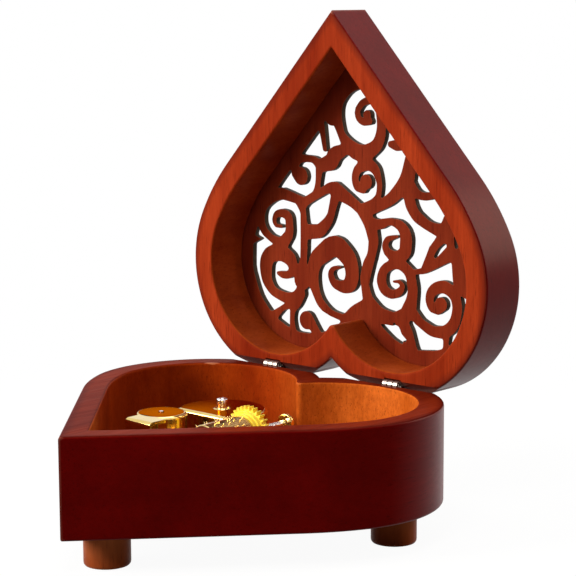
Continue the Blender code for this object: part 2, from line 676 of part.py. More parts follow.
def blend(a, b):
    """The nearer of two distances, with a fillet where they meet."""
    near = np.clip(0.5 + 0.5 * (b - a) / FRET_FILLET, 0, 1)
    return b * (1 - near) + a * near - FRET_FILLET * near * (1 - near)


def inside(x, y, outline):
    """Which points lie inside an outline, by counting the edges to one side of them."""
    odd = np.zeros(x.shape, dtype=bool)
    for (ax, ay), (bx, by) in zip(outline, outline[1:] + outline[:1]):
        if ay != by:
            odd ^= ((ay > y) != (by > y)) & (x < (bx - ax) * (y - ay) / (by - ay) + ax)
    return odd


def fret_holes():
    """The outlines of the gaps between the scrolls, cut from a net that is raised by distance."""
    rim = heart(WALL)
    left, right = min(x for x, y in rim), max(x for x, y in rim)
    low, high = min(y for x, y in rim), max(y for x, y in rim)
    columns = int((right - left) / FRET_GRID) + 1
    rows = int((high - low) / FRET_GRID) + 1
    x, y = np.meshgrid(np.linspace(left, right, columns), np.linspace(low, high, rows))
    border = [(px, py, 2 * FRET_BORDER) for px, py in rim + rim[:1]]
    field = stroke(x, y, border)
    scale = LOBE_RADIUS / DRAWN_LOBE_RADIUS
    for points in SCROLLS.values():
        field = blend(field, stroke(x, y, on_panel(smooth_path(points) * scale)))
    for across, up, radius in EYES:
        field = blend(field, np.hypot(x - scale * across, y - HINGE_Y + scale * up) - scale * radius)
    for points in SLITS.values():
        field = np.maximum(field, -stroke(x, y, on_panel(smooth_path(points) * scale)))
    field[~inside(x, y, rim)] = -1.0

    bm = bmesh.new()
    verts = [[bm.verts.new((x[j, i], y[j, i], field[j, i])) for i in range(columns)] for j in range(rows)]
    for j in range(rows - 1):
        for i in range(columns - 1):
            a, b, c, d = verts[j][i], verts[j][i + 1], verts[j + 1][i + 1], verts[j + 1][i]
            if max(v.co.z for v in (a, b, c, d)) > 0:
                bm.faces.new((a, b, c))
                bm.faces.new((a, c, d))
    everything = bm.verts[:] + bm.edges[:] + bm.faces[:]
    bmesh.ops.bisect_plane(bm, geom=everything, plane_co=(0, 0, 0.001), plane_no=(0, 0, 1), clear_inner=True)
    for vert in bm.verts:
        vert.co.z = 0
    bmesh.ops.remove_doubles(bm, verts=bm.verts, dist=0.05)
    bmesh.ops.dissolve_limit(bm, verts=bm.verts, edges=bm.edges, angle_limit=FRET_FACET, use_dissolve_boundaries=False)
    holes = [[(v.co.x, v.co.y) for v in face.verts] for face in bm.faces if face.calc_area() > 1.0]
    bm.free()
    return holes


part(
    "lid_fretwork",
    plate([heart(WALL - PANEL_LEDGE + CLEARANCE), *fret_holes()], (PANEL_Z, PANEL_Z + PANEL_THICKNESS)),
    "stained_wood",
    LID,
)


# Hinges: a leaf in the base with two knuckles, a leaf in the lid with one, and a pin

def leaf(name, x, knuckles, up, parent):
    """A hinge leaf: a plate in its slot, necks, and knuckles bored for the pin."""
    way = 1 if up else -1
    half = 1.5 * KNUCKLE_WIDTH + CLEARANCE
    edge = LEAF_THICKNESS / 2
    clear = KNUCKLE_RADIUS + CLEARANCE
    spans = [(x + k * (KNUCKLE_WIDTH + CLEARANCE) - KNUCKLE_WIDTH / 2,
              x + k * (KNUCKLE_WIDTH + CLEARANCE) + KNUCKLE_WIDTH / 2) for k in knuckles]
    depth = sorted((HINGE_Z + way * clear, HINGE_Z + way * LEAF_DEPTH))
    neck = sorted((HINGE_Z, HINGE_Z + way * (clear + 1)))
    obj = part(name, box((x - half, x + half), (HINGE_Y - edge, HINGE_Y + edge), depth), "nickel", parent)
    for span in spans:
        fuse(obj, box(span, (HINGE_Y - edge, HINGE_Y + edge), neck))
        fuse(obj, rod(KNUCKLE_RADIUS, span, (HINGE_Y, HINGE_Z), "X", 16))
    reach = (x - 2 * half, x + 2 * half)
    cut(obj, rod(HINGE_PIN_RADIUS + CLEARANCE, reach, (HINGE_Y, HINGE_Z), "X", 10))


for side, word in ((-1, "left"), (1, "right")):
    x = side * HINGE_X
    leaf(f"hinge_{word}_base_leaf", x, (-1, 1), False, ORIGIN)
    leaf(f"hinge_{word}_lid_leaf", x, (0,), True, LID)
    half = 1.5 * KNUCKLE_WIDTH + CLEARANCE
    part(f"hinge_{word}_pin", rod(HINGE_PIN_RADIUS, (x - half, x + half), (HINGE_Y, HINGE_Z), "X", 12), "nickel")


# Movement: bedplate

def rounded(x, y, radius, steps=4):
    """A rectangle with round corners."""
    points = []
    corners = ((x[1] - radius, y[0] + radius, -90), (x[1] - radius, y[1] - radius, 0),
               (x[0] + radius, y[1] - radius, 90), (x[0] + radius, y[0] + radius, 180))
    for cx, cy, start in corners:
        for i in range(steps + 1):
            a = math.radians(start + 90 * i / steps)
            points.append((cx + radius * math.cos(a), cy + radius * math.sin(a)))
    return points


part(
    "bedplate",
    plate(
        [
            rounded(BED_X, BED_Y, BED_CORNER),
            circle(ARBOR_RADIUS + CLEARANCE, (BARREL_X, BARREL_Y)),
            circle(SHAFT_RADIUS + CLEARANCE, (GOVERNOR_X, GOVERNOR_Y), 16),
        ],
        (FLOOR_TOP + CLEARANCE, BED_TOP),
    ),
    "gold_plate",
)


# Movement: spring housing, a D-shaped cup open below, on three lugs outside the great wheel

def housing_outline(inset):
    """A circle with a flat on its tip side."""
    radius = HOUSING_RADIUS - inset
    flat = HOUSING_FLAT - inset
    half = math.acos(flat / radius)
    start = -math.pi / 2 + half
    sweep = 2 * (math.pi - half)
    angles = [start + sweep * i / 32 for i in range(33)]
    return [(BARREL_X + radius * math.cos(a), BARREL_Y + radius * math.sin(a)) for a in angles]


housing = part("spring_housing", plate([housing_outline(0)], (HOUSING_BOTTOM, HOUSING_TOP)), "gold_plate")
cut(housing, plate([housing_outline(SHEET)], (HOUSING_BOTTOM - 1, HOUSING_TOP - SHEET)))
cut(housing, rod(ARBOR_RADIUS + CLEARANCE, (HOUSING_TOP - 2 * SHEET, HOUSING_TOP + 1), (BARREL_X, BARREL_Y)))
cut(housing, rod(SHAFT_RADIUS + CLEARANCE, (BARREL_Y - HOUSING_FLAT - 1, BARREL_Y - HOUSING_FLAT + 2 * SHEET),
                 (BARREL_X, GOVERNOR_SHAFT_Z), "Y", 16))
lug_root = HOUSING_RADIUS - SHEET / 2
lug_outer = HOUSING_RADIUS + LUG_REACH
lug_inner = DRIVE_RADIUS + ADDENDUM * MODULE + CLEARANCE
lug_bottom = HOUSING_BOTTOM + CLEARANCE
lug_top = HOUSING_BOTTOM + LUG_HEIGHT
lug_profile = [(lug_root, lug_bottom), (lug_inner, lug_bottom), (lug_inner, STAND), (lug_outer, STAND),
               (lug_outer, lug_top), (lug_root, lug_top)]
for angle in LUG_ANGLES:
    turn = Matrix.Rotation(math.radians(angle), 4, "Z") @ Matrix.Rotation(math.pi / 2, 4, "X")
    fuse(housing, plate([lug_profile], (-LUG_WIDTH / 2, LUG_WIDTH / 2), turn, (BARREL_X, BARREL_Y, 0)))


# Movement: what turns with the key

WINDING = axis_empty("winding_axis", (BARREL_X, BARREL_Y, 0), ORIGIN)
KEY_HUB_TOP = FOOT_HEIGHT - 2 * CLEARANCE
KEY_HUB_SOCKET = KEY_HUB_TOP - 2.2

part(
    "winding_arbor",
    rod(ARBOR_RADIUS, (KEY_HUB_SOCKET + CLEARANCE, HOUSING_TOP + ARBOR_STANDS_OUT), (BARREL_X, BARREL_Y)),
    "steel",
    WINDING,
)

key_end = KEY_DEPTH / 2
key_middle = KEY_GROUND_GAP + key_end
wings = rounded((-KEY_WIDTH / 2, KEY_WIDTH / 2), (-key_end, key_end), key_end - 0.05)
key_holes = [circle(key_end * 0.5, (s * (KEY_WIDTH / 2 - key_end), 0), 12) for s in (-1, 1)]
key = part(
    "winding_key",
    plate([wings, *key_holes], (-KEY_THICKNESS / 2, KEY_THICKNESS / 2), Matrix.Rotation(math.pi / 2, 4, "X"),
          (BARREL_X, BARREL_Y, key_middle)),
    "brass",
    WINDING,
)
fuse(key, rod(KEY_HUB_RADIUS, (key_middle, KEY_HUB_TOP), (BARREL_X, BARREL_Y)))
cut(key, rod(ARBOR_RADIUS + CLEARANCE, (KEY_HUB_SOCKET, KEY_HUB_TOP + 1), (BARREL_X, BARREL_Y)))

to_transfer = math.atan2(TRANSFER_Y - BARREL_Y, CYLINDER_X - BARREL_X)
great_wheel = part(
    "great_wheel",
    plate([toothed(DRIVE_TEETH, DRIVE_RADIUS, to_transfer), circle(ARBOR_RADIUS + CLEARANCE)],
          (STAND, WHEEL_TOP), Matrix(), (BARREL_X, BARREL_Y, 0)),
    "brass",
    WINDING,
)
crown_levels = (WHEEL_TOP - 0.4, DRIVE_CROWN_Z + ADDENDUM * MODULE)
fuse(great_wheel, crown(DRIVE_CROWN_TEETH, DRIVE_CROWN_RADIUS, CROWN_LENGTH, crown_levels, (BARREL_X, BARREL_Y),
                        -math.pi / 2))


# Movement: mainspring, a flat spiral inside the housing

def spiral(inner, outer, turns, strip, steps=16):
    """The outline of a strip wound into a spiral."""
    count = turns * steps
    side = {}
    for edge in (0, strip):
        radii = [inner + (outer - inner - strip) * i / count + edge for i in range(count + 1)]
        side[edge] = [(r * math.cos(2 * math.pi * i / steps), r * math.sin(2 * math.pi * i / steps))
                      for i, r in enumerate(radii)]
    return side[0] + side[strip][::-1]


spring_inner = ARBOR_RADIUS + CLEARANCE
spring_outer = HOUSING_FLAT - SHEET - CLEARANCE
spring_foot = (HOUSING_BOTTOM + HOUSING_TOP - SHEET - SPRING_HEIGHT) / 2
part(
    "mainspring",
    plate([spiral(spring_inner, spring_outer, SPRING_TURNS, SPRING_STRIP)],
          (spring_foot, spring_foot + SPRING_HEIGHT), Matrix(), (BARREL_X, BARREL_Y, 0)),
    "steel",
)
spring_gap = (spring_outer - spring_inner - SPRING_STRIP) / SPRING_TURNS - SPRING_STRIP
print(f"mainspring: least gap between turns {spring_gap:.2f} mm")


# Movement: transfer wheel on its stud, a spur wheel with a crown on a raised hub

TRANSFER = axis_empty("transfer_axis", (CYLINDER_X, TRANSFER_Y, 0), ORIGIN)
CROWN_Z = CYLINDER_Z - CYLINDER_GEAR_RADIUS
crown_root = CROWN_Z - DEDENDUM * FINE_MODULE
mesh_phase = to_transfer + math.pi + math.pi / TRANSFER_TEETH
transfer_wheel = part(
    "transfer_wheel",
    plate([toothed(TRANSFER_TEETH, TRANSFER_RADIUS, mesh_phase)], (STAND, WHEEL_TOP), Matrix(),
          (CYLINDER_X, TRANSFER_Y, 0)),
    "brown_nylon",
    TRANSFER,
)
fuse(transfer_wheel, rod(CROWN_RADIUS + FINE_CROWN_LENGTH, (STAND + 0.4, crown_root), (CYLINDER_X, TRANSFER_Y)))
crown_levels = (crown_root - 0.4, CROWN_Z + ADDENDUM * FINE_MODULE)
fuse(transfer_wheel, crown(CROWN_TEETH, CROWN_RADIUS, FINE_CROWN_LENGTH, crown_levels, (CYLINDER_X, TRANSFER_Y),
                           -math.pi / 2))
cut(transfer_wheel, rod(STUD_RADIUS + CLEARANCE, (STAND - 1, CROWN_Z + 2), (CYLINDER_X, TRANSFER_Y)))
stud_head = crown_root + CLEARANCE
stud = part("transfer_stud", rod(STUD_RADIUS, (STAND, stud_head + 1), (CYLINDER_X, TRANSFER_Y)), "steel")
fuse(stud, rod(STUD_HEAD_RADIUS, (stud_head, stud_head + STUD_HEAD_HEIGHT), (CYLINDER_X, TRANSFER_Y)))


# Movement: pinned cylinder, its gear and its arbor

CYLINDER = axis_empty("cylinder_axis", (CYLINDER_X, 0, CYLINDER_Z), ORIGIN)
AXIS = (CYLINDER_X, CYLINDER_Z)
gear_face = CYLINDER_GEAR_Y - CYLINDER_GEAR_WIDTH / 2
gear_back = CYLINDER_GEAR_Y + CYLINDER_GEAR_WIDTH / 2
drum_end = gear_face - 2 * COLLAR_STEP
cylinder_gear = part(
    "cylinder_gear",
    plate([toothed(CYLINDER_TEETH, CYLINDER_GEAR_RADIUS, math.pi / 2 + math.pi / CYLINDER_TEETH)],
          (gear_face, gear_back), ALONG_Y, (CYLINDER_X, 0, CYLINDER_Z)),
    "yellow_nylon",
    CYLINDER,
)
fuse(cylinder_gear, rod(DRUM_RADIUS + COLLAR_RISE, (gear_face - COLLAR_STEP, gear_face + 0.5), AXIS, "Y", 24))
fuse(cylinder_gear, rod(DRUM_RADIUS + INNER_COLLAR_RISE, (drum_end, gear_face + 0.4), AXIS, "Y", 24))
fuse(cylinder_gear, rod(GEAR_HUB_RADIUS, (gear_back - 0.5, gear_back + GEAR_HUB_LENGTH), AXIS, "Y", 16))
cut(cylinder_gear, rod(CYLINDER_ARBOR_RADIUS + CLEARANCE, (drum_end - 1, gear_back + 2 * GEAR_HUB_LENGTH), AXIS, "Y", 16))

drum = part("cylinder_drum", rod(DRUM_RADIUS, (DRUM_START_Y, drum_end - CLEARANCE), AXIS, "Y", 32), "brass", CYLINDER)
FIRST_NOTE_Y = DRUM_START_Y + NOTE_PITCH / 2


def pin(note, turn):
    """One pin of the tune, standing on the drum."""
    y = FIRST_NOTE_Y + note * NOTE_PITCH
    half = PIN_WIDTH / 2
    bm = bmesh.new()
    bm.from_mesh(box((-half, half), (y - half, y + half), (DRUM_RADIUS - 0.5, DRUM_RADIUS + PIN_HEIGHT)))
    bm.transform(Matrix.Translation(Vector((CYLINDER_X, 0, CYLINDER_Z)) * MM) @ Matrix.Rotation(turn, 4, "Y"))
    return mesh_from("pin", bm)


golden = math.pi * (3 - math.sqrt(5))
tune = [(note, golden * (note * PINS_PER_NOTE + k) + 2 * math.pi * k / PINS_PER_NOTE)
        for note in range(NOTES) for k in range(PINS_PER_NOTE)]
fuse(drum, joined([pin(note, turn) for note, turn in tune]))
cut(drum, rod(CYLINDER_ARBOR_RADIUS + CLEARANCE, (DRUM_START_Y - 1, drum_end + 1), AXIS, "Y", 20))

front_bracket_y = DRUM_START_Y - 2 * CLEARANCE - BRACKET_THICKNESS
back_bracket_y = TRANSFER_Y + TRANSFER_RADIUS + ADDENDUM * MODULE + 2 * CLEARANCE
part(
    "cylinder_arbor",
    rod(CYLINDER_ARBOR_RADIUS, (front_bracket_y - CLEARANCE, back_bracket_y + BRACKET_THICKNESS + CLEARANCE), AXIS,
        "Y", 20),
    "steel",
    CYLINDER,
)


def bracket(name, y, foot):
    """An upright plate with a bearing for the cylinder's arbor, and a foot along the bedplate."""
    x = (CYLINDER_X - BRACKET_WIDTH / 2, CYLINDER_X + BRACKET_WIDTH / 2)
    obj = part(name, box(x, (y, y + BRACKET_THICKNESS), (STAND, CYLINDER_Z + 2.7)), "gold_plate")
    fuse(obj, box(x, sorted((y + BRACKET_THICKNESS / 2, y + BRACKET_THICKNESS / 2 + foot)),
                  (STAND, STAND + BRACKET_THICKNESS)))
    cut(obj, rod(CYLINDER_ARBOR_RADIUS + CLEARANCE, (y - 1, y + BRACKET_THICKNESS + 1), AXIS, "Y", 20))


bracket("cylinder_bracket_front", front_bracket_y, BRACKET_FOOT)
bracket("cylinder_bracket_back", back_bracket_y, BRACKET_FOOT)


# Movement: comb on its bridge, with its long bass teeth at the near end

tip_x = CYLINDER_X + DRUM_RADIUS + PIN_HEIGHT + CLEARANCE
root_x = tip_x + COMB_TOOTH_LENGTH
back_x = root_x + COMB_BASE
comb_z = (CYLINDER_Z - COMB_THICKNESS / 2, CYLINDER_Z + COMB_THICKNESS / 2)
comb_y = (FIRST_NOTE_Y - NOTE_PITCH / 2, FIRST_NOTE_Y + (NOTES - 0.5) * NOTE_PITCH)
comb_outline = [(back_x, comb_y[1]), (back_x, comb_y[0])]
for note in range(NOTES):
    y = FIRST_NOTE_Y + note * NOTE_PITCH
    slot = root_x - COMB_TAPER * note / (NOTES - 1)
    if note:
        comb_outline.append((slot, y - COMB_TOOTH_WIDTH / 2))
    comb_outline.append((tip_x, y - COMB_TOOTH_WIDTH / 2 if note else comb_y[0]))
    comb_outline.append((tip_x, y + COMB_TOOTH_WIDTH / 2 if note < NOTES - 1 else comb_y[1]))
    if note < NOTES - 1:
        comb_outline.append((slot, y + COMB_TOOTH_WIDTH / 2))
comb_screws = [((root_x + back_x) / 2, comb_y[0] + share * (comb_y[1] - comb_y[0])) for share in (0.25, 0.75)]
screw_bore = COMB_SCREW_RADIUS + CLEARANCE
part("comb", plate([comb_outline] + [circle(screw_bore, c, 16) for c in comb_screws], comb_z), "steel")

bridge_top = comb_z[0] - CLEARANCE
bridge = part("comb_bridge", box((root_x + 0.2, back_x), comb_y, (STAND, bridge_top)), "gold_plate")
for number, centre in enumerate(comb_screws, 1):
    cut(bridge, rod(screw_bore, (bridge_top - 3, bridge_top + 1), centre, "Z", 16))
    seat = comb_z[1] + CLEARANCE
    dome = [(0, seat + 1.5), (COMB_SCREW_HEAD * 0.55, seat + 1.3), (COMB_SCREW_HEAD * 0.9, seat + 0.75),
            (COMB_SCREW_HEAD, seat), (COMB_SCREW_RADIUS, seat), (COMB_SCREW_RADIUS, bridge_top - 2.5),
            (0, bridge_top - 2.5)]
    part(f"comb_screw_{number}", turned(dome, centre, 20), "brass")


# Movement: governor shaft with its pinion and worm wheel

GOVERNOR_SHAFT = axis_empty("governor_shaft_axis", (BARREL_X, 0, GOVERNOR_SHAFT_Z), ORIGIN)
shaft_centre = (BARREL_X, GOVERNOR_SHAFT_Z)
shaft = part(
    "governor_shaft",
    rod(SHAFT_RADIUS, (TAB_END_Y + CLEARANCE, BARREL_Y - HOUSING_FLAT + SHEET - CLEARANCE), shaft_centre, "Y", 16),
    "steel",
    GOVERNOR_SHAFT,
)
fuse(shaft, plate([toothed(PINION_TEETH, PINION_RADIUS, math.pi / 2 + math.pi / PINION_TEETH)],
                  (PINION_Y - PINION_LENGTH / 2, PINION_Y + PINION_LENGTH / 2), ALONG_Y,
                  (BARREL_X, 0, GOVERNOR_SHAFT_Z)))
half = WORM_WHEEL_THICKNESS / 2
fuse(shaft, plate([toothed(WORM_WHEEL_TEETH, WORM_WHEEL_RADIUS, math.pi + math.pi / WORM_WHEEL_TEETH)],
                  (GOVERNOR_Y - half, GOVERNOR_Y + half), ALONG_Y, (BARREL_X, 0, GOVERNOR_SHAFT_Z)))


# Movement: governor worm and fan

FAN = axis_empty("fan_axis", (GOVERNOR_X, GOVERNOR_Y, 0), ORIGIN)
GOVERNOR = (GOVERNOR_X, GOVERNOR_Y)
worm_half = WORM_PITCH * WORM_TURNS / 2 + 0.6
fan_z = (GOVERNOR_TOP - SHEET - GOVERNOR_SKIRT + 1.0, GOVERNOR_TOP - SHEET - 2 * CLEARANCE)
worm = part(
    "governor_worm",
    turned(
        [
            (0, GOVERNOR_TOP + CLEARANCE),
            (SHAFT_RADIUS, GOVERNOR_TOP + CLEARANCE),
            (SHAFT_RADIUS, GOVERNOR_SHAFT_Z + worm_half + 0.6),
            (WORM_CORE_RADIUS, GOVERNOR_SHAFT_Z + worm_half),
            (WORM_CORE_RADIUS, GOVERNOR_SHAFT_Z - worm_half),
            (SHAFT_RADIUS, GOVERNOR_SHAFT_Z - worm_half - 0.4),
            (SHAFT_RADIUS, FLOOR_TOP + 2 * CLEARANCE),
            (0, FLOOR_TOP + 2 * CLEARANCE),
        ],
        GOVERNOR,
        16,
    ),
    "steel",
    FAN,
)


def worm_thread():
    """A tapered ridge that climbs one pitch a turn, with a crest level with the wheel's axis."""
    steps = 10
    section = ((WORM_CORE_RADIUS - 0.25, 0.34), (WORM_THREAD_RADIUS, 0.16))
    bm = bmesh.new()
    rings = []
    for i in range(WORM_TURNS * steps + 1):
        turns = i / steps - WORM_TURNS / 2
        a = 2 * math.pi * turns
        z = GOVERNOR_SHAFT_Z + WORM_PITCH * turns
        points = [(section[0][0], -section[0][1]), (section[1][0], -section[1][1]),
                  (section[1][0], section[1][1]), (section[0][0], section[0][1])]
        rings.append([bm.verts.new(Vector((GOVERNOR_X + r * math.cos(a), GOVERNOR_Y + r * math.sin(a), z + h)) * MM)
                      for r, h in points])
    for near, far in zip(rings, rings[1:]):
        for i in range(4):
            bm.faces.new((near[i], near[(i + 1) % 4], far[(i + 1) % 4], far[i]))
    bm.faces.new(rings[0][::-1])
    bm.faces.new(rings[-1])
    bmesh.ops.recalc_face_normals(bm, faces=bm.faces)
    return mesh_from("worm_thread", bm)


fuse(worm, worm_thread())

fan = part("governor_fan", rod(1.6, fan_z, GOVERNOR, "Z", 16), "steel", FAN)
for blade in range(FAN_BLADES):
    fuse(fan, box((GOVERNOR_X + 1.2, GOVERNOR_X + FAN_RADIUS), (GOVERNOR_Y - 0.3, GOVERNOR_Y + 0.3), fan_z,
                  2 * math.pi * blade / FAN_BLADES + 0.4, GOVERNOR))
cut(fan, rod(SHAFT_RADIUS + CLEARANCE, (fan_z[0] - 1, fan_z[1] + 1), GOVERNOR, "Z", 16))


# Movement: governor frame, a round cap over the fan with a tab bent down to the bedplate

frame = part("governor_frame", rod(GOVERNOR_RADIUS, (GOVERNOR_TOP - SHEET - GOVERNOR_SKIRT, GOVERNOR_TOP), GOVERNOR,
                                   "Z", 32), "gold_plate")
cut(frame, rod(GOVERNOR_RADIUS - SHEET, (GOVERNOR_TOP - SHEET - GOVERNOR_SKIRT - 1, GOVERNOR_TOP - SHEET), GOVERNOR,
               "Z", 32))
fuse(frame, box(TAB_X, (TAB_END_Y, GOVERNOR_Y - GOVERNOR_RADIUS + 1.5), (GOVERNOR_TOP - SHEET, GOVERNOR_TOP)))
fuse(frame, box(TAB_X, (TAB_END_Y, TAB_END_Y + SHEET), (STAND, GOVERNOR_TOP - SHEET / 2)))
fuse(frame, box(TAB_X, (TAB_END_Y + SHEET / 2, TAB_END_Y + BRACKET_FOOT), (STAND, STAND + SHEET)))
post_x = (GOVERNOR_X - GOVERNOR_RADIUS, GOVERNOR_X - GOVERNOR_RADIUS + SHEET)
fuse(frame, box(post_x, (GOVERNOR_Y - 2.4, GOVERNOR_Y + 2.4), (STAND, GOVERNOR_TOP - SHEET - GOVERNOR_SKIRT + 1)))
cut(frame, rod(SHAFT_RADIUS + CLEARANCE, (TAB_END_Y - 1, TAB_END_Y + SHEET + 1), shaft_centre, "Y", 16))
cut(frame, rod(SHAFT_RADIUS + CLEARANCE, (GOVERNOR_TOP - 2 * SHEET, GOVERNOR_TOP + 1), GOVERNOR, "Z", 16))
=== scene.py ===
# %% [markdown]
# # A heart-shaped music box
#
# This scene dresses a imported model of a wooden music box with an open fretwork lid. The model
# brings the solids and the joints. The cells below add the camera, the studio, the finishes and
# the pieces that need more than a plain solid: eased wooden frames, the sawn fretwork with its
# burnt edges, and the bright parts of the movement.
#
# Sizes are in millimetres. Plan positions are measured from the tip of the heart, as a maker
# would mark them on the board, and `TIP_Y` carries them into the scene.

# %% Load the model
import math
import random

import bmesh
import bpy
from mathutils import Matrix, Vector


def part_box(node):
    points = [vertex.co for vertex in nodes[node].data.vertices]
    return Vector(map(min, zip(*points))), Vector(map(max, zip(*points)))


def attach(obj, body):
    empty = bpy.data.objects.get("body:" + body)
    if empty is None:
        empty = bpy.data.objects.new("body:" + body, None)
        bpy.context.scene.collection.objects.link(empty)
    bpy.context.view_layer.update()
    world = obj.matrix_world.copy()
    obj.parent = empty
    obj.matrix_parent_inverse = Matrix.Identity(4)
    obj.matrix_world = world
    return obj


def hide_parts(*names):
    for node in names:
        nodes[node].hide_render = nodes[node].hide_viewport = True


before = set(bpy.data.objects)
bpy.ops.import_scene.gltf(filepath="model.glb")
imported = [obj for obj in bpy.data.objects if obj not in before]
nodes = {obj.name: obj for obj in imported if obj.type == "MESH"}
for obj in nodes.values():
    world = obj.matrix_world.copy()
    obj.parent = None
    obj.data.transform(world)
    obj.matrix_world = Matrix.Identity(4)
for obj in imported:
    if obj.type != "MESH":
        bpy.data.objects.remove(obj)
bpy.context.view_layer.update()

# %% [markdown]
# ## Sizes that the dressing shares with the solids
#
# Every visible piece has to land on its solid, so the sizes it follows are named once here. The
# levels are read from the solids themselves.

# %% Shared sizes
MM = 0.001
CLEARANCE = 0.3
WALL = 7.3
LEDGE = 3.5
PANEL_LEDGE = 3.0
PANEL_THICKNESS = 1.9
LID_DEPTH = 16.2
WELD = 0.000002


def low(name):
    """The lowest corner of a solid, in millimetres."""
    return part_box(name)[0] / MM


def high(name):
    """The highest corner of a solid, in millimetres."""
    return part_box(name)[1] / MM


TIP_Y = low("base_frame").y
BASE_LOW, BASE_HIGH = low("base_frame").z, high("base_frame").z
HINGE_Z = BASE_HIGH + CLEARANCE / 2
HINGE_Y = (low("hinge_left_pin").y + high("hinge_left_pin").y) / 2 - TIP_Y
HINGE_X = (low("hinge_right_pin").x + high("hinge_right_pin").x) / 2
LID_LOW = HINGE_Z + CLEARANCE / 2
LID_HIGH = LID_LOW + LID_DEPTH
print(f"base from {BASE_LOW:.1f} to {BASE_HIGH:.1f} mm, hinges at {HINGE_X:.1f}, {HINGE_Y:.1f} mm")

# %% [markdown]
# ## The camera
#
# The photograph was taken from the right of the tip, with the eye a little higher than the
# fretwork. A long lens keeps the two hearts almost free of perspective. The eye and the target
# were worked out from the outline of the box, so the camera repeats that view.

# %% Camera
def placed(name, data):
    """An object in the scene that carries some data."""
    obj = bpy.data.objects.new(name, data)
    bpy.context.scene.collection.objects.link(obj)
    return obj


def aim(obj, eye, target, roll=0.0):
    """Point an object's -Z at a target."""
    obj.location = Vector(eye) * MM
    turn = (Vector(target) - Vector(eye)).to_track_quat("-Z", "Y")
    obj.rotation_euler = (turn.to_matrix().to_4x4() @ Matrix.Rotation(roll, 4, "Z")).to_euler()


EYE = (365.4, -316.8 + TIP_Y, 140.7 + BASE_LOW)
TARGET = (32.0, 53.5 + TIP_Y, 63.9 + BASE_LOW)
LENS, SENSOR, ROLL = 119.0, 36.0, math.radians(-0.25)
camera = placed("photo_camera", bpy.data.cameras.new("photo_camera"))
camera.data.sensor_width = SENSOR
camera.data.lens = LENS
aim(camera, EYE, TARGET, ROLL)
bpy.context.scene.camera = camera
print("camera distance:", round((Vector(EYE) - Vector(TARGET)).length), "mm")

# %% [markdown]
# ## Node helpers
#
# The studio and every finish are drawn with nodes, and the same few moves come back: make a
# node, set its inputs, mix two colours by a mask, stretch a value to a range. Short helpers keep
# each recipe readable. A group holds what several finishes share, and it gives out only masks
# and heights.

# %% Node helpers
def new_group(name, inputs, outputs):
    """A shader node group with vectors in and values out, and its two end nodes."""
    group = bpy.data.node_groups.new(name, "ShaderNodeTree")
    for label in inputs:
        group.interface.new_socket(name=label, in_out="INPUT", socket_type="NodeSocketVector")
    for label in outputs:
        group.interface.new_socket(name=label, in_out="OUTPUT", socket_type="NodeSocketFloat")
    return group, group.nodes.new("NodeGroupInput"), group.nodes.new("NodeGroupOutput")


def give(tree, socket, value):
    """Give an input a value, or link it to another socket."""
    if isinstance(value, bpy.types.NodeSocket):
        tree.links.new(value, socket)
    else:
        socket.default_value = value


def feed(tree, node, **values):
    """Give a node's inputs their values or links, by name."""
    for key, value in values.items():
        give(tree, node.inputs[key.replace("_", " ")], value)


def add(tree, kind, **values):
    """A node with its properties and inputs set by name."""
    node = tree.nodes.new(kind)
    for key, value in values.items():
        if hasattr(node, key):
            setattr(node, key, value)
        else:
            feed(tree, node, **{key: value})
    return node


def ranged(tree, value, start=0.0, end=1.0, lowest=0.0, highest=1.0):
    """A value stretched from one range to another."""
    return add(tree, "ShaderNodeMapRange", Value=value, From_Min=start, From_Max=end,
               To_Min=lowest, To_Max=highest).outputs[0]


def mixed(tree, mask, under, over):
    """One colour over another where the mask is high; each is a colour or a socket."""
    node = add(tree, "ShaderNodeMix", data_type="RGBA", Factor=mask)
    for socket, value in ((node.inputs[6], under), (node.inputs[7], over)):
        give(tree, socket, (*value, 1) if isinstance(value, tuple) else value)
    return node.outputs[2]


def worked(tree, operation, first, second, kind="ShaderNodeMath"):
    """One sum of two values; each is a number or a socket."""
    node = add(tree, kind, operation=operation)
    give(tree, node.inputs[0], first)
    give(tree, node.inputs[1], second)
    return node.outputs[0]


def stretched(tree, source, scale):
    """Coordinates scaled on each axis, so that noise draws out along the small ones."""
    return worked(tree, "MULTIPLY", source, scale, "ShaderNodeVectorMath")


def noise(tree, source, scale, detail=4.0, roughness=0.6):
    """Cloud noise at a number of blotches per metre."""
    return add(tree, "ShaderNodeTexNoise", Vector=source, Scale=scale, Detail=detail,
               Roughness=roughness).outputs["Fac"]


# %% [markdown]
# ## The studio
#
# A product shot on white needs a floor that is bright to the camera and still takes a shadow.
# The floor mixes a matt surface with a plain white glow, and the glow shows only to camera,
# glossy and transmitted rays, so it adds no light to the wood. The world works the same way.

# %% Floor and world
GLOW_SHARE, GLOW_FROM, GLOW_FULL = 0.95, 0.10, 0.25
FLOOR_BOUNCE = 0.30
FLOOR_SIZE, FLOOR_LEVEL = 30, -0.0002
AMBIENT = 0.04


def seen_rays(tree):
    """One where a camera, glossy or transmitted ray looks, zero for light that bounces."""
    path = add(tree, "ShaderNodeLightPath").outputs
    seen = worked(tree, "MAXIMUM", path["Is Camera Ray"], path["Is Glossy Ray"])
    return worked(tree, "MAXIMUM", seen, path["Is Transmission Ray"])


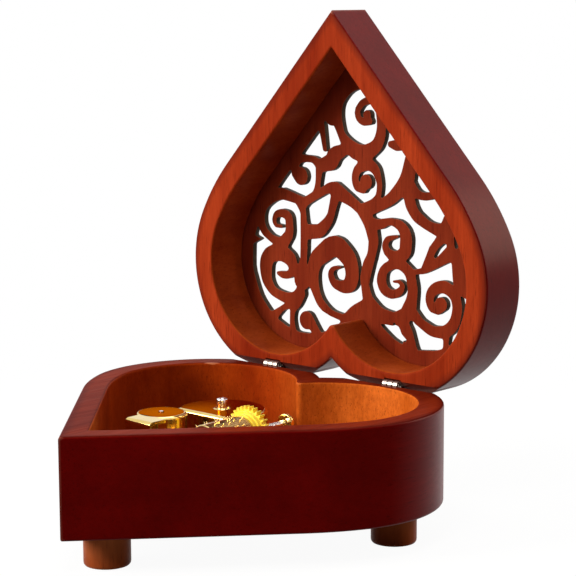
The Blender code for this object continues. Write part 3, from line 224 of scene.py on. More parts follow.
def studio_floor():
    """A matt white floor that mostly glows to the eye and keeps a faint shadow."""
    material = bpy.data.materials.new("studio_floor")
    material.use_nodes = True
    tree = material.node_tree
    tree.nodes.clear()
    seen = seen_rays(tree)
    matt = add(tree, "ShaderNodeBsdfDiffuse", Color=ranged(tree, seen, lowest=FLOOR_BOUNCE))
    glow = add(tree, "ShaderNodeEmission")
    away = add(tree, "ShaderNodeVectorMath", operation="LENGTH")
    give(tree, away.inputs[0], add(tree, "ShaderNodeTexCoord").outputs["Object"])
    reach = ranged(tree, away.outputs["Value"], GLOW_FROM, GLOW_FULL, GLOW_SHARE)
    mix = add(tree, "ShaderNodeMixShader", Fac=worked(tree, "MULTIPLY", seen, reach))
    give(tree, mix.inputs[1], matt.outputs[0])
    give(tree, mix.inputs[2], glow.outputs[0])
    add(tree, "ShaderNodeOutputMaterial", Surface=mix.outputs[0])
    return material


bpy.ops.mesh.primitive_plane_add(size=FLOOR_SIZE, location=(0, 0, FLOOR_LEVEL))
floor = bpy.context.object
floor.name = "studio_floor"
floor.data.materials.append(studio_floor())

world = bpy.data.worlds.new("studio_world")
bpy.context.scene.world = world
world.use_nodes = True
sky = world.node_tree
feed(sky, sky.nodes["Background"], Color=(1, 1, 1, 1), Strength=ranged(sky, seen_rays(sky), lowest=AMBIENT))
bpy.context.scene.view_settings.view_transform = "Standard"
print("studio: white to the eye, ambient light", AMBIENT)

# %% [markdown]
# ## The lamps
#
# In the photograph the walls that face left glow orange and the outside that faces the camera
# stays a deep maroon. So the main soft box stands at the left, in front and high up. A small
# weak one is aimed at the lid's face, and a large dim one lies above. The last, behind on the
# right, lights the rims and lays the grey sheen on the lid's upper edge.

# %% Lamps
def soft_box(name, place, target, size, power, colour=(1, 1, 1)):
    """A square soft box aimed at a point."""
    lamp = bpy.data.lights.new(name, "AREA")
    lamp.size = size
    lamp.energy = power
    lamp.color = colour
    aim(placed(name, lamp), place, target)


MIDDLE, LID_FACE = (0, 0, 50), (10, 40, 130)
WARM, WARMER = (1.0, 0.96, 0.90), (1.0, 0.86, 0.70)
soft_box("key_box", (-520, -740, 470), MIDDLE, 0.50, 15.0, WARM)
soft_box("near_box", (150, -230, 400), LID_FACE, 0.12, 0.75, WARM)
soft_box("top_box", (40, 260, 820), MIDDLE, 0.60, 3.6)
soft_box("edge_box", (440, 640, 400), MIDDLE, 0.45, 3.0, WARMER)
print("lamps: key, near, top and edge boxes")

# %% [markdown]
# ## A reusable wood figure
#
# Stained wood shows several things at once: broad bands where the board took more or less
# stain, fine fibres, short dark pores, and a faint speckle in the film. One group makes a mask
# for each and a height. The coordinates come in already squeezed along the grain, which draws
# the noise out into fibres.

# %% Wood figure group
def wood_figure_group():
    """Bands, fibres, pores and relief of a sawn and stained board."""
    group, start, end = new_group("wood_figure", ["Along", "Place"], ["Bands", "Fibres", "Pores", "Height"])
    along, place = start.outputs["Along"], start.outputs["Place"]
    bands = ranged(group, noise(group, along, 75.0, 5.0, 0.6), 0.30, 0.70)
    fibres = ranged(group, noise(group, along, 1100.0, 3.0, 0.65), 0.25, 0.75)
    pores = ranged(group, noise(group, along, 2600.0, 2.0, 0.5), 0.60, 0.72)
    speckle = noise(group, place, 3000.0, 2.0, 0.6)
    height = worked(group, "SUBTRACT", worked(group, "ADD", fibres, speckle), pores)
    feed(group, end, Bands=bands, Fibres=fibres, Pores=pores, Height=height)
    return group


WOOD_FIGURE = wood_figure_group()

# %% [markdown]
# ## A reusable edge mask
#
# Stain is wiped thinner on arrises, and handling rubs them first, so edges are a shade lighter
# than faces. The lighter colour also paints in the thin line of light that a rounded arris
# catches, so it is partly wear and partly a painted highlight. Pointiness tells how sharply a
# surface turns outwards. The group maps it to a mask and breaks it up with a little noise, so
# that no edge is evenly worn or lit.

# %% Edge wear group
def edge_wear_and_highlight_group():
    """Where an arris is rubbed and takes a painted highlight, with gaps."""
    group, start, end = new_group("edge_wear_and_highlight", ["Place"], ["Mask"])
    geometry = add(group, "ShaderNodeNewGeometry")
    edge = ranged(group, geometry.outputs["Pointiness"], 0.53, 0.60)
    patches = ranged(group, noise(group, start.outputs["Place"], 90.0), 0.35, 0.65, 0.35, 1.0)
    feed(group, end, Mask=worked(group, "MULTIPLY", edge, patches))
    return group


EDGE_WEAR_AND_HIGHLIGHT = edge_wear_and_highlight_group()
print("shared groups:", WOOD_FIGURE.name, EDGE_WEAR_AND_HIGHLIGHT.name)

# %% [markdown]
# ## Stained and lacquered wood
#
# The outside was sprayed with a deep red toner. The faces show the red-brown stain below it and
# the routed insides its warm orange side. They are the same wood, so one function builds them
# all, and each gets its colours, its grain direction and its sheen. The toner is in the film, so
# even the light it throws back is tinted a little. On the faces it drifted on from the outer
# edge, which a UV map of the distance from that edge tells. The base's inside also carries painted
# light: it turns a brighter orange towards the right, where its walls face the lamp at the left.

# %% Wood materials
PLAN_GRAIN, UPRIGHT_GRAIN, WALL_GRAIN = (1.0, 0.06, 1.0), (1.0, 1.0, 0.08), (1.0, 1.0, 0.45)
PAINTED_LIGHT_FROM, PAINTED_LIGHT_FULL = -0.020, 0.012
DARK_LINES = (("Fibres", 0.72, 0.45), ("Pores", 0.45, 0.6))
SPRAY_FULL, SPRAY_GONE, SPRAY_SHARE, SPRAY_RAGGED = 0.10, 0.42, 0.85, 0.12
COAT_ROUGHNESS, FILM_TINT, WOOD_RELIEF = 0.32, (1.0, 0.5, 0.35, 1), 0.0001


def new_finish(name):
    """A material, its node tree, its shader and the coordinates of the piece."""
    material = bpy.data.materials.new(name)
    material.use_nodes = True
    tree = material.node_tree
    return material, tree, tree.nodes["Principled BSDF"], add(tree, "ShaderNodeTexCoord").outputs["Object"]


def rubbed_and_highlighted(tree, place, colour, edge):
    """A colour that gives way to a lighter one on arrises: partly wear, partly a painted highlight."""
    wear_and_highlight = add(tree, "ShaderNodeGroup", node_tree=EDGE_WEAR_AND_HIGHLIGHT, Place=place)
    return mixed(tree, wear_and_highlight.outputs["Mask"], colour, edge)


def relief(tree, height, strength, depth):
    """A normal that follows a height."""
    return add(tree, "ShaderNodeBump", Strength=strength, Distance=depth, Height=height).outputs[0]


def wood(name, dark, light, edge=None, grain=PLAN_GRAIN, rough=(0.36, 0.48), gloss=0.04, sheen=0.1,
         bump=0.10, painted_light_side=None, spray=None):
    """A stained board: its colours, grain and film, painted light on a lit side, and where toner drifted on."""
    material, tree, shader, place = new_finish(name)
    figure = add(tree, "ShaderNodeGroup", node_tree=WOOD_FIGURE, Along=stretched(tree, place, grain),
                 Place=place).outputs
    colour = mixed(tree, figure["Bands"], dark, light)
    # Painted light: towards the right the colours give way to lighter ones, where the wall faces the lamp.
    if painted_light_side:
        across = add(tree, "ShaderNodeSeparateXYZ", Vector=place).outputs["X"]
        painted_lit = mixed(tree, figure["Bands"], *painted_light_side)
        colour = mixed(tree, ranged(tree, across, PAINTED_LIGHT_FROM, PAINTED_LIGHT_FULL), colour, painted_lit)
    for label, shade, share in DARK_LINES:
        deeper = tuple(shade * c for c in dark)
        colour = mixed(tree, ranged(tree, figure[label], highest=share), colour, deeper)
    if spray:
        inset = add(tree, "ShaderNodeUVMap", uv_map="inset").outputs[0]
        inset = add(tree, "ShaderNodeSeparateXYZ", Vector=inset).outputs["X"]
        ragged = worked(tree, "ADD", inset, worked(tree, "MULTIPLY", figure["Bands"], SPRAY_RAGGED))
        colour = mixed(tree, ranged(tree, ragged, SPRAY_FULL, SPRAY_GONE, SPRAY_SHARE, 0.0), colour, spray)
    # The edge colour stands for rubbed arrises and for the light they catch: wear and a painted highlight.
    if edge:
        colour = rubbed_and_highlighted(tree, place, colour, edge)
    facing = add(tree, "ShaderNodeLayerWeight", Blend=0.5).outputs["Facing"]
    feed(tree, shader, Base_Color=colour, Roughness=ranged(tree, figure["Fibres"], 0.0, 1.0, *rough),
         Normal=relief(tree, figure["Height"], bump, WOOD_RELIEF),
         Coat_Weight=ranged(tree, facing, 0.2, 0.8, 0.0, sheen), Coat_Roughness=COAT_ROUGHNESS,
         Specular_IOR_Level=gloss, Specular_Tint=FILM_TINT)
    return material


# The third colour of each finish is its arris colour, partly wear and partly a painted highlight.
WOOD_OUTSIDE = wood("wood_outside", (0.090, 0.0006, 0.0006), (0.150, 0.0014, 0.0010), (0.30, 0.10, 0.07),
    gloss=0.03, sheen=0.42, bump=0.05)
WOOD_FACE = wood("wood_face", (0.18, 0.013, 0.003), (0.36, 0.042, 0.010), (0.62, 0.30, 0.22),
    gloss=0.015, sheen=0.0, spray=(0.10, 0.010, 0.005))
WOOD_RIM = wood("wood_rim", (0.09, 0.006, 0.002), (0.22, 0.022, 0.005), (0.45, 0.18, 0.12),
    gloss=0.01, sheen=0.0, spray=(0.06, 0.003, 0.002))
# The base's inside takes a second, lighter pair of colours on the right: painted light where its walls face the
# lamp.
WOOD_INSIDE = wood("wood_inside", (0.20, 0.016, 0.001), (0.40, 0.050, 0.004), (0.66, 0.25, 0.10), WALL_GRAIN,
    (0.45, 0.62), gloss=0.02, sheen=0.08, painted_light_side=((0.46, 0.090, 0.008), (0.74, 0.170, 0.022)))
WOOD_LID_INSIDE = wood("wood_lid_inside", (0.22, 0.026, 0.004), (0.42, 0.068, 0.010), (0.60, 0.22, 0.10),
    WALL_GRAIN, (0.45, 0.62), gloss=0.02, sheen=0.08)
WOOD_FRET = wood("wood_fret", (0.13, 0.012, 0.004), (0.24, 0.032, 0.010), rough=(0.40, 0.55), gloss=0.03)
# The fretwork's arris colour: partly rubbed wood, partly a painted highlight.
FRET_ARRIS_HIGHLIGHT = wood("fret_arris_highlight", (0.20, 0.030, 0.010), (0.34, 0.075, 0.035), gloss=0.03)
WOOD_FLOOR = wood("wood_floor", (0.12, 0.020, 0.005), (0.20, 0.040, 0.010), (0.3, 0.1, 0.05), rough=(0.5, 0.65))
WOOD_FOOT = wood("wood_foot", (0.20, 0.032, 0.007), (0.34, 0.070, 0.016), (0.45, 0.16, 0.06), UPRIGHT_GRAIN)
BURNT_EDGE = wood("burnt_edge", (0.030, 0.020, 0.014), (0.060, 0.045, 0.032), (0.12, 0.08, 0.05), UPRIGHT_GRAIN,
    (0.45, 0.62))
print("wood finishes: 10")

# %% [markdown]
# ## Metals and nylon
#
# The movement is a small bright machine: gold-plated plates, a chromed arbor, a steel comb and
# yellow nylon. Metal needs something to reflect and a little unevenness in its gloss, or it
# looks like paint. A shared group gives a faint brushing with a few hairline scratches, and each
# metal takes what it needs. Solids that stay as they are get their finish here.

# %% Metal and nylon materials
def film_group():
    """A soft cloud with fine lines, for gloss that is not quite even."""
    group, start, end = new_group("worn_film", ["Along"], ["Mask", "Lines"])
    along = start.outputs["Along"]
    feed(group, end, Mask=noise(group, along, 320.0, 6.0, 0.65),
         Lines=ranged(group, noise(group, along, 2400.0, 2.0), 0.55, 0.75))
    return group


FILM = film_group()
LINE_SHARE, LINE_BUMP, LINE_RELIEF, EDGE_HIGHLIGHT_GAIN = 0.35, 0.02, 0.00005, 1.12


def metal(name, colour, bright, rough, stretch=(1.0, 1.0, 1.0), metallic=1.0, rim=(1.0, 1.0, 1.0)):
    """A bright part: two near colours, its gloss and the way it was brushed."""
    material, tree, shader, place = new_finish(name)
    film = add(tree, "ShaderNodeGroup", node_tree=FILM, Along=stretched(tree, place, stretch)).outputs
    base = mixed(tree, film["Mask"], colour, bright)
    # Arrises are painted a little brighter than the plating: a painted highlight.
    edge = tuple(min(1.0, EDGE_HIGHLIGHT_GAIN * c) for c in bright)
    uneven = worked(tree, "ADD", film["Mask"], worked(tree, "MULTIPLY", film["Lines"], LINE_SHARE))
    feed(tree, shader, Base_Color=rubbed_and_highlighted(tree, place, base, edge), Metallic=metallic, Specular_Tint=(*rim, 1),
         Roughness=ranged(tree, uneven, 0.2, 1.0, *rough),
         Normal=relief(tree, film["Lines"], LINE_BUMP, LINE_RELIEF))
    return material


GOLD = metal("gold_plate", (0.74, 0.52, 0.15), (0.86, 0.64, 0.24), (0.08, 0.18))
# The flat tops mirror the orange walls of the box: this copper gold and its orange-tinted gloss are a painted
# reflection.
GOLD_WITH_PAINTED_REFLECTION = metal("gold_with_painted_reflection", (0.42, 0.125, 0.025), (0.56, 0.20, 0.045), (0.14, 0.26), rim=(0.7, 0.35, 0.12))
CHROME = metal("chrome", (0.72, 0.72, 0.73), (0.82, 0.82, 0.83), (0.16, 0.26))
STEEL = metal("comb_steel", (0.50, 0.50, 0.51), (0.66, 0.66, 0.67), (0.16, 0.32), (0.08, 1.0, 1.0))
BRASS = metal("brass", (0.66, 0.44, 0.15), (0.78, 0.56, 0.23), (0.14, 0.28))
NICKEL = metal("hinge_nickel", (0.34, 0.25, 0.21), (0.50, 0.40, 0.35), (0.26, 0.40))
YELLOW_NYLON = metal("yellow_nylon", (0.86, 0.60, 0.03), (0.92, 0.70, 0.07), (0.26, 0.40), metallic=0.0)
DARK_NYLON = metal("dark_nylon", (0.05, 0.03, 0.02), (0.08, 0.05, 0.03), (0.40, 0.52), metallic=0.0)
CARRIED_OVER = {
    "base_floor": WOOD_FLOOR, "mainspring": STEEL, "great_wheel": BRASS, "transfer_wheel": DARK_NYLON,
    "cylinder_arbor": CHROME, "governor_shaft": CHROME, "governor_worm": CHROME, "governor_fan": CHROME,
    "transfer_stud": CHROME,
}
for name, material in CARRIED_OVER.items():
    nodes[name].data.materials.clear()
    nodes[name].data.materials.append(material)
print("solids that keep their shape:", len(CARRIED_OVER))

# %% [markdown]
# ## Building skins
#
# Most pieces here are a cross-section carried along a path: a wall round the heart, a profile
# round an axis, a cup that rounds over into its flat top. Each is a stack of rings with the same
# number of points, joined by quads.

# %% Skin helpers
def skin(bm, rings, slots=None, looped=False):
    """Quads between rings of points in millimetres, added to a bmesh; the ends are capped or joined."""
    verts = [[bm.verts.new(Vector(point) * MM) for point in ring] for ring in rings]
    pairs = list(zip(verts, verts[1:] + verts[:1])) if looped else list(zip(verts, verts[1:]))
    for k, (near, far) in enumerate(pairs):
        for i in range(len(near)):
            j = (i + 1) % len(near)
            face = bm.faces.new((near[i], near[j], far[j], far[i]))
            face.material_index = slots[k] if slots else 0
    if not looped:
        bm.faces.new(verts[0][::-1])
        bm.faces.new(verts[-1])
    return bm


def spun(profile, centre, axis="Z", sides=64):
    """Rings of a profile of (radius, along) pairs round an axis."""
    rings = []
    for radius, along in profile:
        ring = []
        for i in range(sides):
            a = 2 * math.pi * i / sides
            point = [centre[0] + radius * math.cos(a), centre[1] + radius * math.sin(a)]
            point.insert("XYZ".index(axis), along)
            ring.append(point)
        rings.append(ring)
    return rings


def shade_evenly(obj):
    """Weigh normals by the size of faces, so that flats look flat and arrises stay crisp."""
    obj.modifiers.new("even_shading", "WEIGHTED_NORMAL").keep_sharp = True


def finished(name, bm, *materials, crisp=35.0, even=True):
    """An object from a bmesh, smooth between its arrises."""
    bmesh.ops.recalc_face_normals(bm, faces=bm.faces)
    mesh = bpy.data.meshes.new(name)
    bm.to_mesh(mesh)
    bm.free()
    for material in materials:
        mesh.materials.append(material)
    mesh.shade_smooth()
    mesh.set_sharp_from_angle(angle=math.radians(crisp))
    obj = placed(name, mesh)
    if even:
        shade_evenly(obj)
    return obj


def hand_over(obj, body, slot, *replaced):
    """Let a piece ride its body, in place of the solids that it covers."""
    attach(obj, body)
    if replaced:
        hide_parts(*replaced)
    print(f"{obj.name}: {len(obj.data.polygons)} faces")


def settle(obj, body, slot, *replaced):
    """Put a piece that was drawn on the plan in its place, and hand it over."""
    obj.location.y = TIP_Y * MM
    hand_over(obj, body, slot, *replaced)


def eased(corners, steps=4):
    """A closed section with its corners rounded; each corner is (inset, level, radius)."""
    points = []
    for i, (x, y, radius) in enumerate(corners):
        here = Vector((x, y))
        if radius == 0:
            points.append(tuple(here))
            continue
        before = (Vector(corners[i - 1][:2]) - here).normalized()
        after = (Vector(corners[(i + 1) % len(corners)][:2]) - here).normalized()
        half = before.angle(after) / 2
        start, finish = here + before * radius / math.tan(half), here + after * radius / math.tan(half)
        middle = here + (before + after).normalized() * radius / math.sin(half)
        a = math.atan2(start.y - middle.y, start.x - middle.x)
        sweep = (math.atan2(finish.y - middle.y, finish.x - middle.x) - a + math.pi) % (2 * math.pi) - math.pi
        for k in range(steps + 1):
            b = a + sweep * k / steps
            points.append((middle.x + radius * math.cos(b), middle.y + radius * math.sin(b)))
    return points


# %% [markdown]
# ## The heart
#
# The heart is a straight side, a wide shoulder arc and a round lobe, mirrored across the middle.
# Drawn in by the wall's thickness, it gives the inside, whose cleft ends in the small radius that
# a router bit leaves. The solids use the same outline with fewer steps. Two more points stand
# near the tip, to keep its edge wear and painted highlight there.

# %% Heart outline
HALF_ANGLE = math.radians(42.3)
SHOULDER_RADIUS = 66.0
SHOULDER_TURN = math.radians(16.0)
LOBE_RADIUS = 34.2
LOBE_X = 0.6657 * LOBE_RADIUS
CLEFT_ROUND = 1.5
SIDE_STEPS, SHOULDER_STEPS, LOBE_STEPS, NOSE_STEPS = 8, 8, 60, 5
NEAR_TIP = [0.012, 0.03]
LOBE_HEADING = math.pi / 2 - HALF_ANGLE + SHOULDER_TURN
SIDE_RUN = (LOBE_X + SHOULDER_RADIUS * math.cos(HALF_ANGLE)
            - (SHOULDER_RADIUS - LOBE_RADIUS) * math.sin(LOBE_HEADING)) / math.sin(HALF_ANGLE)
LOBE_Y = (SIDE_RUN * math.cos(HALF_ANGLE) + SHOULDER_RADIUS * math.sin(HALF_ANGLE)
          - (SHOULDER_RADIUS - LOBE_RADIUS) * math.cos(LOBE_HEADING))


def heart(inset):
    """The outline of the heart, drawn in by a distance."""
    tip = inset / math.sin(HALF_ANGLE)
    shoulder_x = SIDE_RUN * math.sin(HALF_ANGLE) - SHOULDER_RADIUS * math.cos(HALF_ANGLE)
    shoulder_y = SIDE_RUN * math.cos(HALF_ANGLE) + SHOULDER_RADIUS * math.sin(HALF_ANGLE)
    nose = min(CLEFT_ROUND, max(0.0, 0.25 * inset))
    start = LOBE_HEADING - SHOULDER_TURN
    reach = SHOULDER_RADIUS - inset
    side_end = (shoulder_x + reach * math.sin(start), shoulder_y - reach * math.cos(start))
    shares = [0.0, *NEAR_TIP] + [i / SIDE_STEPS for i in range(1, SIDE_STEPS)]
    half = [(side_end[0] * share, tip + (side_end[1] - tip) * share) for share in shares]
    for i in range(SHOULDER_STEPS):
        a = start + SHOULDER_TURN * i / SHOULDER_STEPS
        half.append((shoulder_x + reach * math.sin(a), shoulder_y - reach * math.cos(a)))
    radius = LOBE_RADIUS - inset
    cleft = math.pi + math.asin(LOBE_X / (radius + nose))
    for i in range(LOBE_STEPS + 1):
        a = LOBE_HEADING + (cleft - LOBE_HEADING) * i / LOBE_STEPS
        half.append((LOBE_X + radius * math.sin(a), LOBE_Y - radius * math.cos(a)))
    level = LOBE_Y + math.sqrt((radius + nose) ** 2 - LOBE_X ** 2)
    for i in range(1, NOSE_STEPS):
        a = (cleft - math.pi) * (1 - i / NOSE_STEPS)
        half.append((nose * math.sin(a), level - nose * math.cos(a)))
    half.append((0.0, level - nose))
    return half + [(-x, y) for x, y in half[-2:0:-1]]


print(f"heart: lobes at {LOBE_X:.1f}, {LOBE_Y:.1f} mm, {len(heart(WALL))} points round")

# %% [markdown]
# ## The two wooden frames
#
# Base and lid were routed from thick boards and sanded, so every arris is round and catches a
# thin line of light. The solids have sharp edges, so each frame gets a swept skin: the section
# of its wall, with round corners and the rabbet for the floor or the panel. Where a strip lies
# in the section tells which stain it gets.

# %% Frame skins
OUTSIDE, FACE, INSIDE = 0, 1, 2
ARRIS = 0.7
SKIN_DEPTH = 0.3


def supported(section, gap=0.4):
    """The section with a point close to each end of its long straights, so that edge wear and its painted
    highlight stay at the edges.
    """
    points = []
    for here, after in zip(section, section[1:] + section[:1]):
        points.append(here)
        run = math.dist(here, after)
        if run > 3 * gap:
            for share in (gap / run, 1 - gap / run):
                points.append((here[0] + (after[0] - here[0]) * share, here[1] + (after[1] - here[1]) * share))
    return points


def frame_skin(name, rim, inner, corners):
    """A wall section swept round the heart, stained by where each strip lies."""
    section = supported(eased(corners))
    rings = [[(x, y, height) for x, y in heart(inset)] for inset, height in section]
    slots = []
    for (inset, height), (after, above) in zip(section, section[1:] + section[:1]):
        middle = (inset + after) / 2
        upright = abs(above - height) > abs(after - inset)
        inside = upright and middle > WALL - SKIN_DEPTH
        slots.append(OUTSIDE if middle < SKIN_DEPTH else INSIDE if inside else FACE)
    bm = skin(bmesh.new(), rings, slots, looped=True)
    bm.verts.index_update()
    inset_map = bm.loops.layers.uv.new("inset")
    for face in bm.faces:
        for loop in face.loops:
            loop[inset_map].uv = (section[loop.vert.index // len(rings[0])][0] / WALL, 0.5)
    return finished(name, bm, WOOD_OUTSIDE, rim, inner, even=False)


# %% [markdown]
# ## The bevel and the hinge slots
#
# Behind the hinges a bevel takes the back edge off both mating faces, so that the lid can swing
# up. Each hinge barrel lies in a round groove and each leaf in a slot. Exact boolean cuts make
# them, because those leave the strips of stain and the UV map as they were.

# %% Cutting tools
KNUCKLE_WIDTH, KNUCKLE_RADIUS, LEAF_THICKNESS, LEAF_DEPTH = 1.6, 1.35, 0.8, 8.0
BEVEL_LEAD, BEVEL_REACH, BEVEL_SPAN = 1.2, 20.0, (-60, 60)


def solid_tool(bm, name):
    """A hidden solid that a frame is cut with."""
    tool = finished(name, bm, WOOD_OUTSIDE, WOOD_FACE, WOOD_INSIDE, even=False)
    for face in tool.data.polygons:
        face.material_index = FACE
    return tool


def wedge(level, up):
    """The wedge that takes the back edge off the mating face."""
    front, rise = HINGE_Y - BEVEL_LEAD, BEVEL_REACH if up else -BEVEL_REACH
    side = [(front, level), (front + BEVEL_REACH, level + rise), (front + BEVEL_REACH, level - rise)]
    return solid_tool(skin(bmesh.new(), [[(x, y, z) for y, z in side] for x in BEVEL_SPAN]), "wedge")


def hinge_slot(side, up):
    """The round groove for a hinge barrel and the slot for its leaf."""
    half = 1.5 * KNUCKLE_WIDTH + 2 * CLEARANCE
    span = (side * HINGE_X - half, side * HINGE_X + half)
    barrel = spun([(KNUCKLE_RADIUS + CLEARANCE, x) for x in span], (HINGE_Y, HINGE_Z), "X", 40)
    edge, deep = LEAF_THICKNESS / 2 + CLEARANCE, (LEAF_DEPTH + CLEARANCE) * (1 if up else -1)
    square = [(HINGE_Y + y, HINGE_Z + z) for y, z in ((-edge, 0), (edge, 0), (edge, deep), (-edge, deep))]
    leaf = [[(x, y, z) for y, z in square] for x in span]
    return [solid_tool(skin(bmesh.new(), barrel), "groove"), solid_tool(skin(bmesh.new(), leaf), "slot")]


def carve(obj, level, up):
    """Cut the bevel and both hinges' slots out of a frame, then drop the tools."""
    for tool in (wedge(level, up), *hinge_slot(-1, up), *hinge_slot(1, up)):
        cut = obj.modifiers.new("cut", "BOOLEAN")
        cut.operation, cut.solver, cut.object = "DIFFERENCE", "EXACT", tool
        graph = bpy.context.evaluated_depsgraph_get()
        mesh = bpy.data.meshes.new_from_object(obj.evaluated_get(graph))
        obj.modifiers.clear()
        obj.data = mesh
        bpy.data.objects.remove(tool, do_unlink=True)
    shade_evenly(obj)


# %% [markdown]
# ## The base and the lid
#
# The base's section steps in at the bottom, where the floor board sits, and the lid's at the top
# for the panel. The lid is drawn closed, on the base's plan. A quarter turn about the hinge pins
# then tips it back to where the photo has it.

# %% Base and lid
floor_top = high("base_floor").z + CLEARANCE
base_shell = frame_skin("base_shell", WOOD_RIM, WOOD_INSIDE, [
    (0, BASE_LOW, ARRIS), (WALL - LEDGE, BASE_LOW, 0.3), (WALL - LEDGE, floor_top, 0.1),
    (WALL, floor_top, 0.2), (WALL, BASE_HIGH, ARRIS), (0, BASE_HIGH, ARRIS),
])
carve(base_shell, BASE_HIGH, False)
settle(base_shell, "case", "stained_wood", "base_frame")

OPEN = (Matrix.Translation(Vector((0, TIP_Y + HINGE_Y, HINGE_Z)) * MM) @ Matrix.Rotation(math.radians(-90), 4, "X")
        @ Matrix.Translation(-Vector((0, HINGE_Y, HINGE_Z)) * MM))
panel_low = LID_HIGH - PANEL_THICKNESS - CLEARANCE
lid_shell = frame_skin("lid_shell", WOOD_FACE, WOOD_LID_INSIDE, [
    (0, LID_LOW, ARRIS), (WALL, LID_LOW, ARRIS), (WALL, panel_low, 0.2),
    (WALL - PANEL_LEDGE, panel_low, 0.1), (WALL - PANEL_LEDGE, LID_HIGH, 0.3), (0, LID_HIGH, ARRIS),
])
carve(lid_shell, LID_LOW, True)
lid_shell.matrix_world = OPEN
hand_over(lid_shell, "lid", "stained_wood", "lid_frame")

# %% [markdown]
# ## The fretwork's outlines
#
# The scrolls were cut by a laser from thin board, which leaves burnt, almost black edges, and
# the arrises were rubbed smooth. The solid already holds every opening, drawn with short straight
# runs. So the openings are traced from it, and their runs are bent into curves while true corners
# stay sharp. Points that crowd are dropped, since a bevel would fold over there.

# %% Trace the openings
ON_FACE, CROWDED = 0.00002, 0.02


def openings_of(node):
    """Closed outlines on the front of the panel, in closed-box plan coordinates."""
    mesh = nodes[node].data
    front = min(v.co.y for v in mesh.vertices)
    edges = {}
    for face in mesh.polygons:
        corners = [mesh.vertices[i].co for i in face.vertices]
        if max(abs(c.y - front) for c in corners) > ON_FACE:
            continue
        keys = [(round(c.x / MM, 3), round(HINGE_Y - (c.z / MM - HINGE_Z), 3)) for c in corners]
        for a, b in zip(keys, keys[1:] + keys[:1]):
            if not edges.pop((b, a), False):
                edges[(a, b)] = True
    after = dict(edges.keys())
    loops = []
    while after:
        start, point = after.popitem()
        loop = [start]
        while point != start:
            loop.append(point)
            point = after.pop(point)
        loops.append(loop)
    return loops


def area(loop):
    """Signed area of a closed outline."""
    return sum(a[0] * b[1] - b[0] * a[1] for a, b in zip(loop, loop[1:] + loop[:1])) / 2


def bent(loop, steps=4, corner=38.0):
    """The outline with its straight runs bent into curves between true corners."""
    points = [Vector(p) for p in loop]
    points = [p for i, p in enumerate(points) if (p - points[i - 1]).length > CROWDED]
    count = len(points)
    sharp = []
    for i, here in enumerate(points):
        before, after = here - points[i - 1], points[(i + 1) % count] - here
        sharp.append(before.angle(after) > math.radians(corner))
    curve = []
    for i in range(count):
        b, c = points[i], points[(i + 1) % count]
        a = 2 * b - c if sharp[i] else points[i - 1]
        d = 2 * c - b if sharp[(i + 1) % count] else points[(i + 2) % count]
        gap = (c - b).length
        lead, tail = (b - a).length or gap, (d - c).length or gap
        run_b = (c - a) * (gap / (lead + gap))
        run_c = (d - b) * (gap / (tail + gap))
        for k in range(steps):
            t = k / steps
            curve.append(b * (2 * t ** 3 - 3 * t * t + 1) + run_b * (t ** 3 - 2 * t * t + t)
                         + c * (3 * t * t - 2 * t ** 3) + run_c * (t ** 3 - t * t))
    return [tuple(p) for p in curve]


def thinned(loop, gap=0.25):
    """The outline without points that crowd closer than a gap."""
    kept = [loop[0]]
    for point in loop[1:]:
        if math.dist(point, kept[-1]) > gap:
            kept.append(point)
    return kept[:-1] if math.dist(kept[0], kept[-1]) < gap else kept


board, *openings = sorted(openings_of("lid_fretwork"), key=lambda loop: -abs(area(loop)))
print(f"fretwork: {len(openings)} openings, {sum(map(len, openings))} corners traced")

# %% [markdown]
# ## The fretwork panel
#
# A flat curve with holes fills itself, and its bevel rounds every arris. The offset draws the
# outlines back by as much as the bevel adds, so the openings keep their size. Faces get their
# finish by which way they look: stained, burnt, or in between a lighter colour on the rounded
# arrises that is partly rubbed wood and partly a painted highlight. The flats are shaded flat,
# because smooth normals would smear along their long thin triangles.

# %% Fill the board again
FRET_EASE = 0.12
LOOKS_OUT, LOOKS_SIDEWAYS = 0.98, 0.4


def eased_plate(name, outlines, span, ease):
    """A flat board with holes whose arrises are rounded."""
    curve = bpy.data.curves.new(name, "CURVE")
    curve.dimensions = "2D"
    curve.fill_mode = "BOTH"
    curve.extrude = ((span[1] - span[0]) / 2 - ease) * MM
    curve.bevel_depth = ease * MM
    curve.bevel_resolution = 2
    curve.offset = -ease * MM
    for outline in outlines:
        spline = curve.splines.new("POLY")
        spline.points.add(len(outline) - 1)
        for point, (x, y) in zip(spline.points, outline):
            point.co = (x * MM, y * MM, 0, 1)
        spline.use_cyclic_u = True
    holder = placed(name, curve)
    graph = bpy.context.evaluated_depsgraph_get()
    mesh = bpy.data.meshes.new_from_object(holder.evaluated_get(graph))
    bpy.data.objects.remove(holder, do_unlink=True)
    bpy.data.curves.remove(curve)
    bm = bmesh.new()
    bm.from_mesh(mesh)
    bmesh.ops.remove_doubles(bm, verts=bm.verts, dist=WELD)
    bmesh.ops.translate(bm, verts=bm.verts, vec=(0, 0, (span[0] + span[1]) / 2 * MM))
    return bm


curves = [thinned(bent(loop)) for loop in openings]
bm = eased_plate("fretwork", [board, *curves], (LID_HIGH - PANEL_THICKNESS, LID_HIGH), FRET_EASE)
bmesh.ops.recalc_face_normals(bm, faces=bm.faces)
# The rounded arrises in between get the lighter arris colour, partly wear and partly a painted highlight.
for face in bm.faces:
    upright = abs(face.normal.z)
    face.material_index = 0 if upright > LOOKS_OUT else 2 if upright > LOOKS_SIDEWAYS else 1
fretwork = finished("fretwork_panel", bm, WOOD_FRET, BURNT_EDGE, FRET_ARRIS_HIGHLIGHT, crisp=30.0, even=False)
for face in fretwork.data.polygons:
    face.use_smooth = abs(face.normal.z) < LOOKS_OUT
fretwork.matrix_world = OPEN
hand_over(fretwork, "lid", "stained_wood", "lid_fretwork")

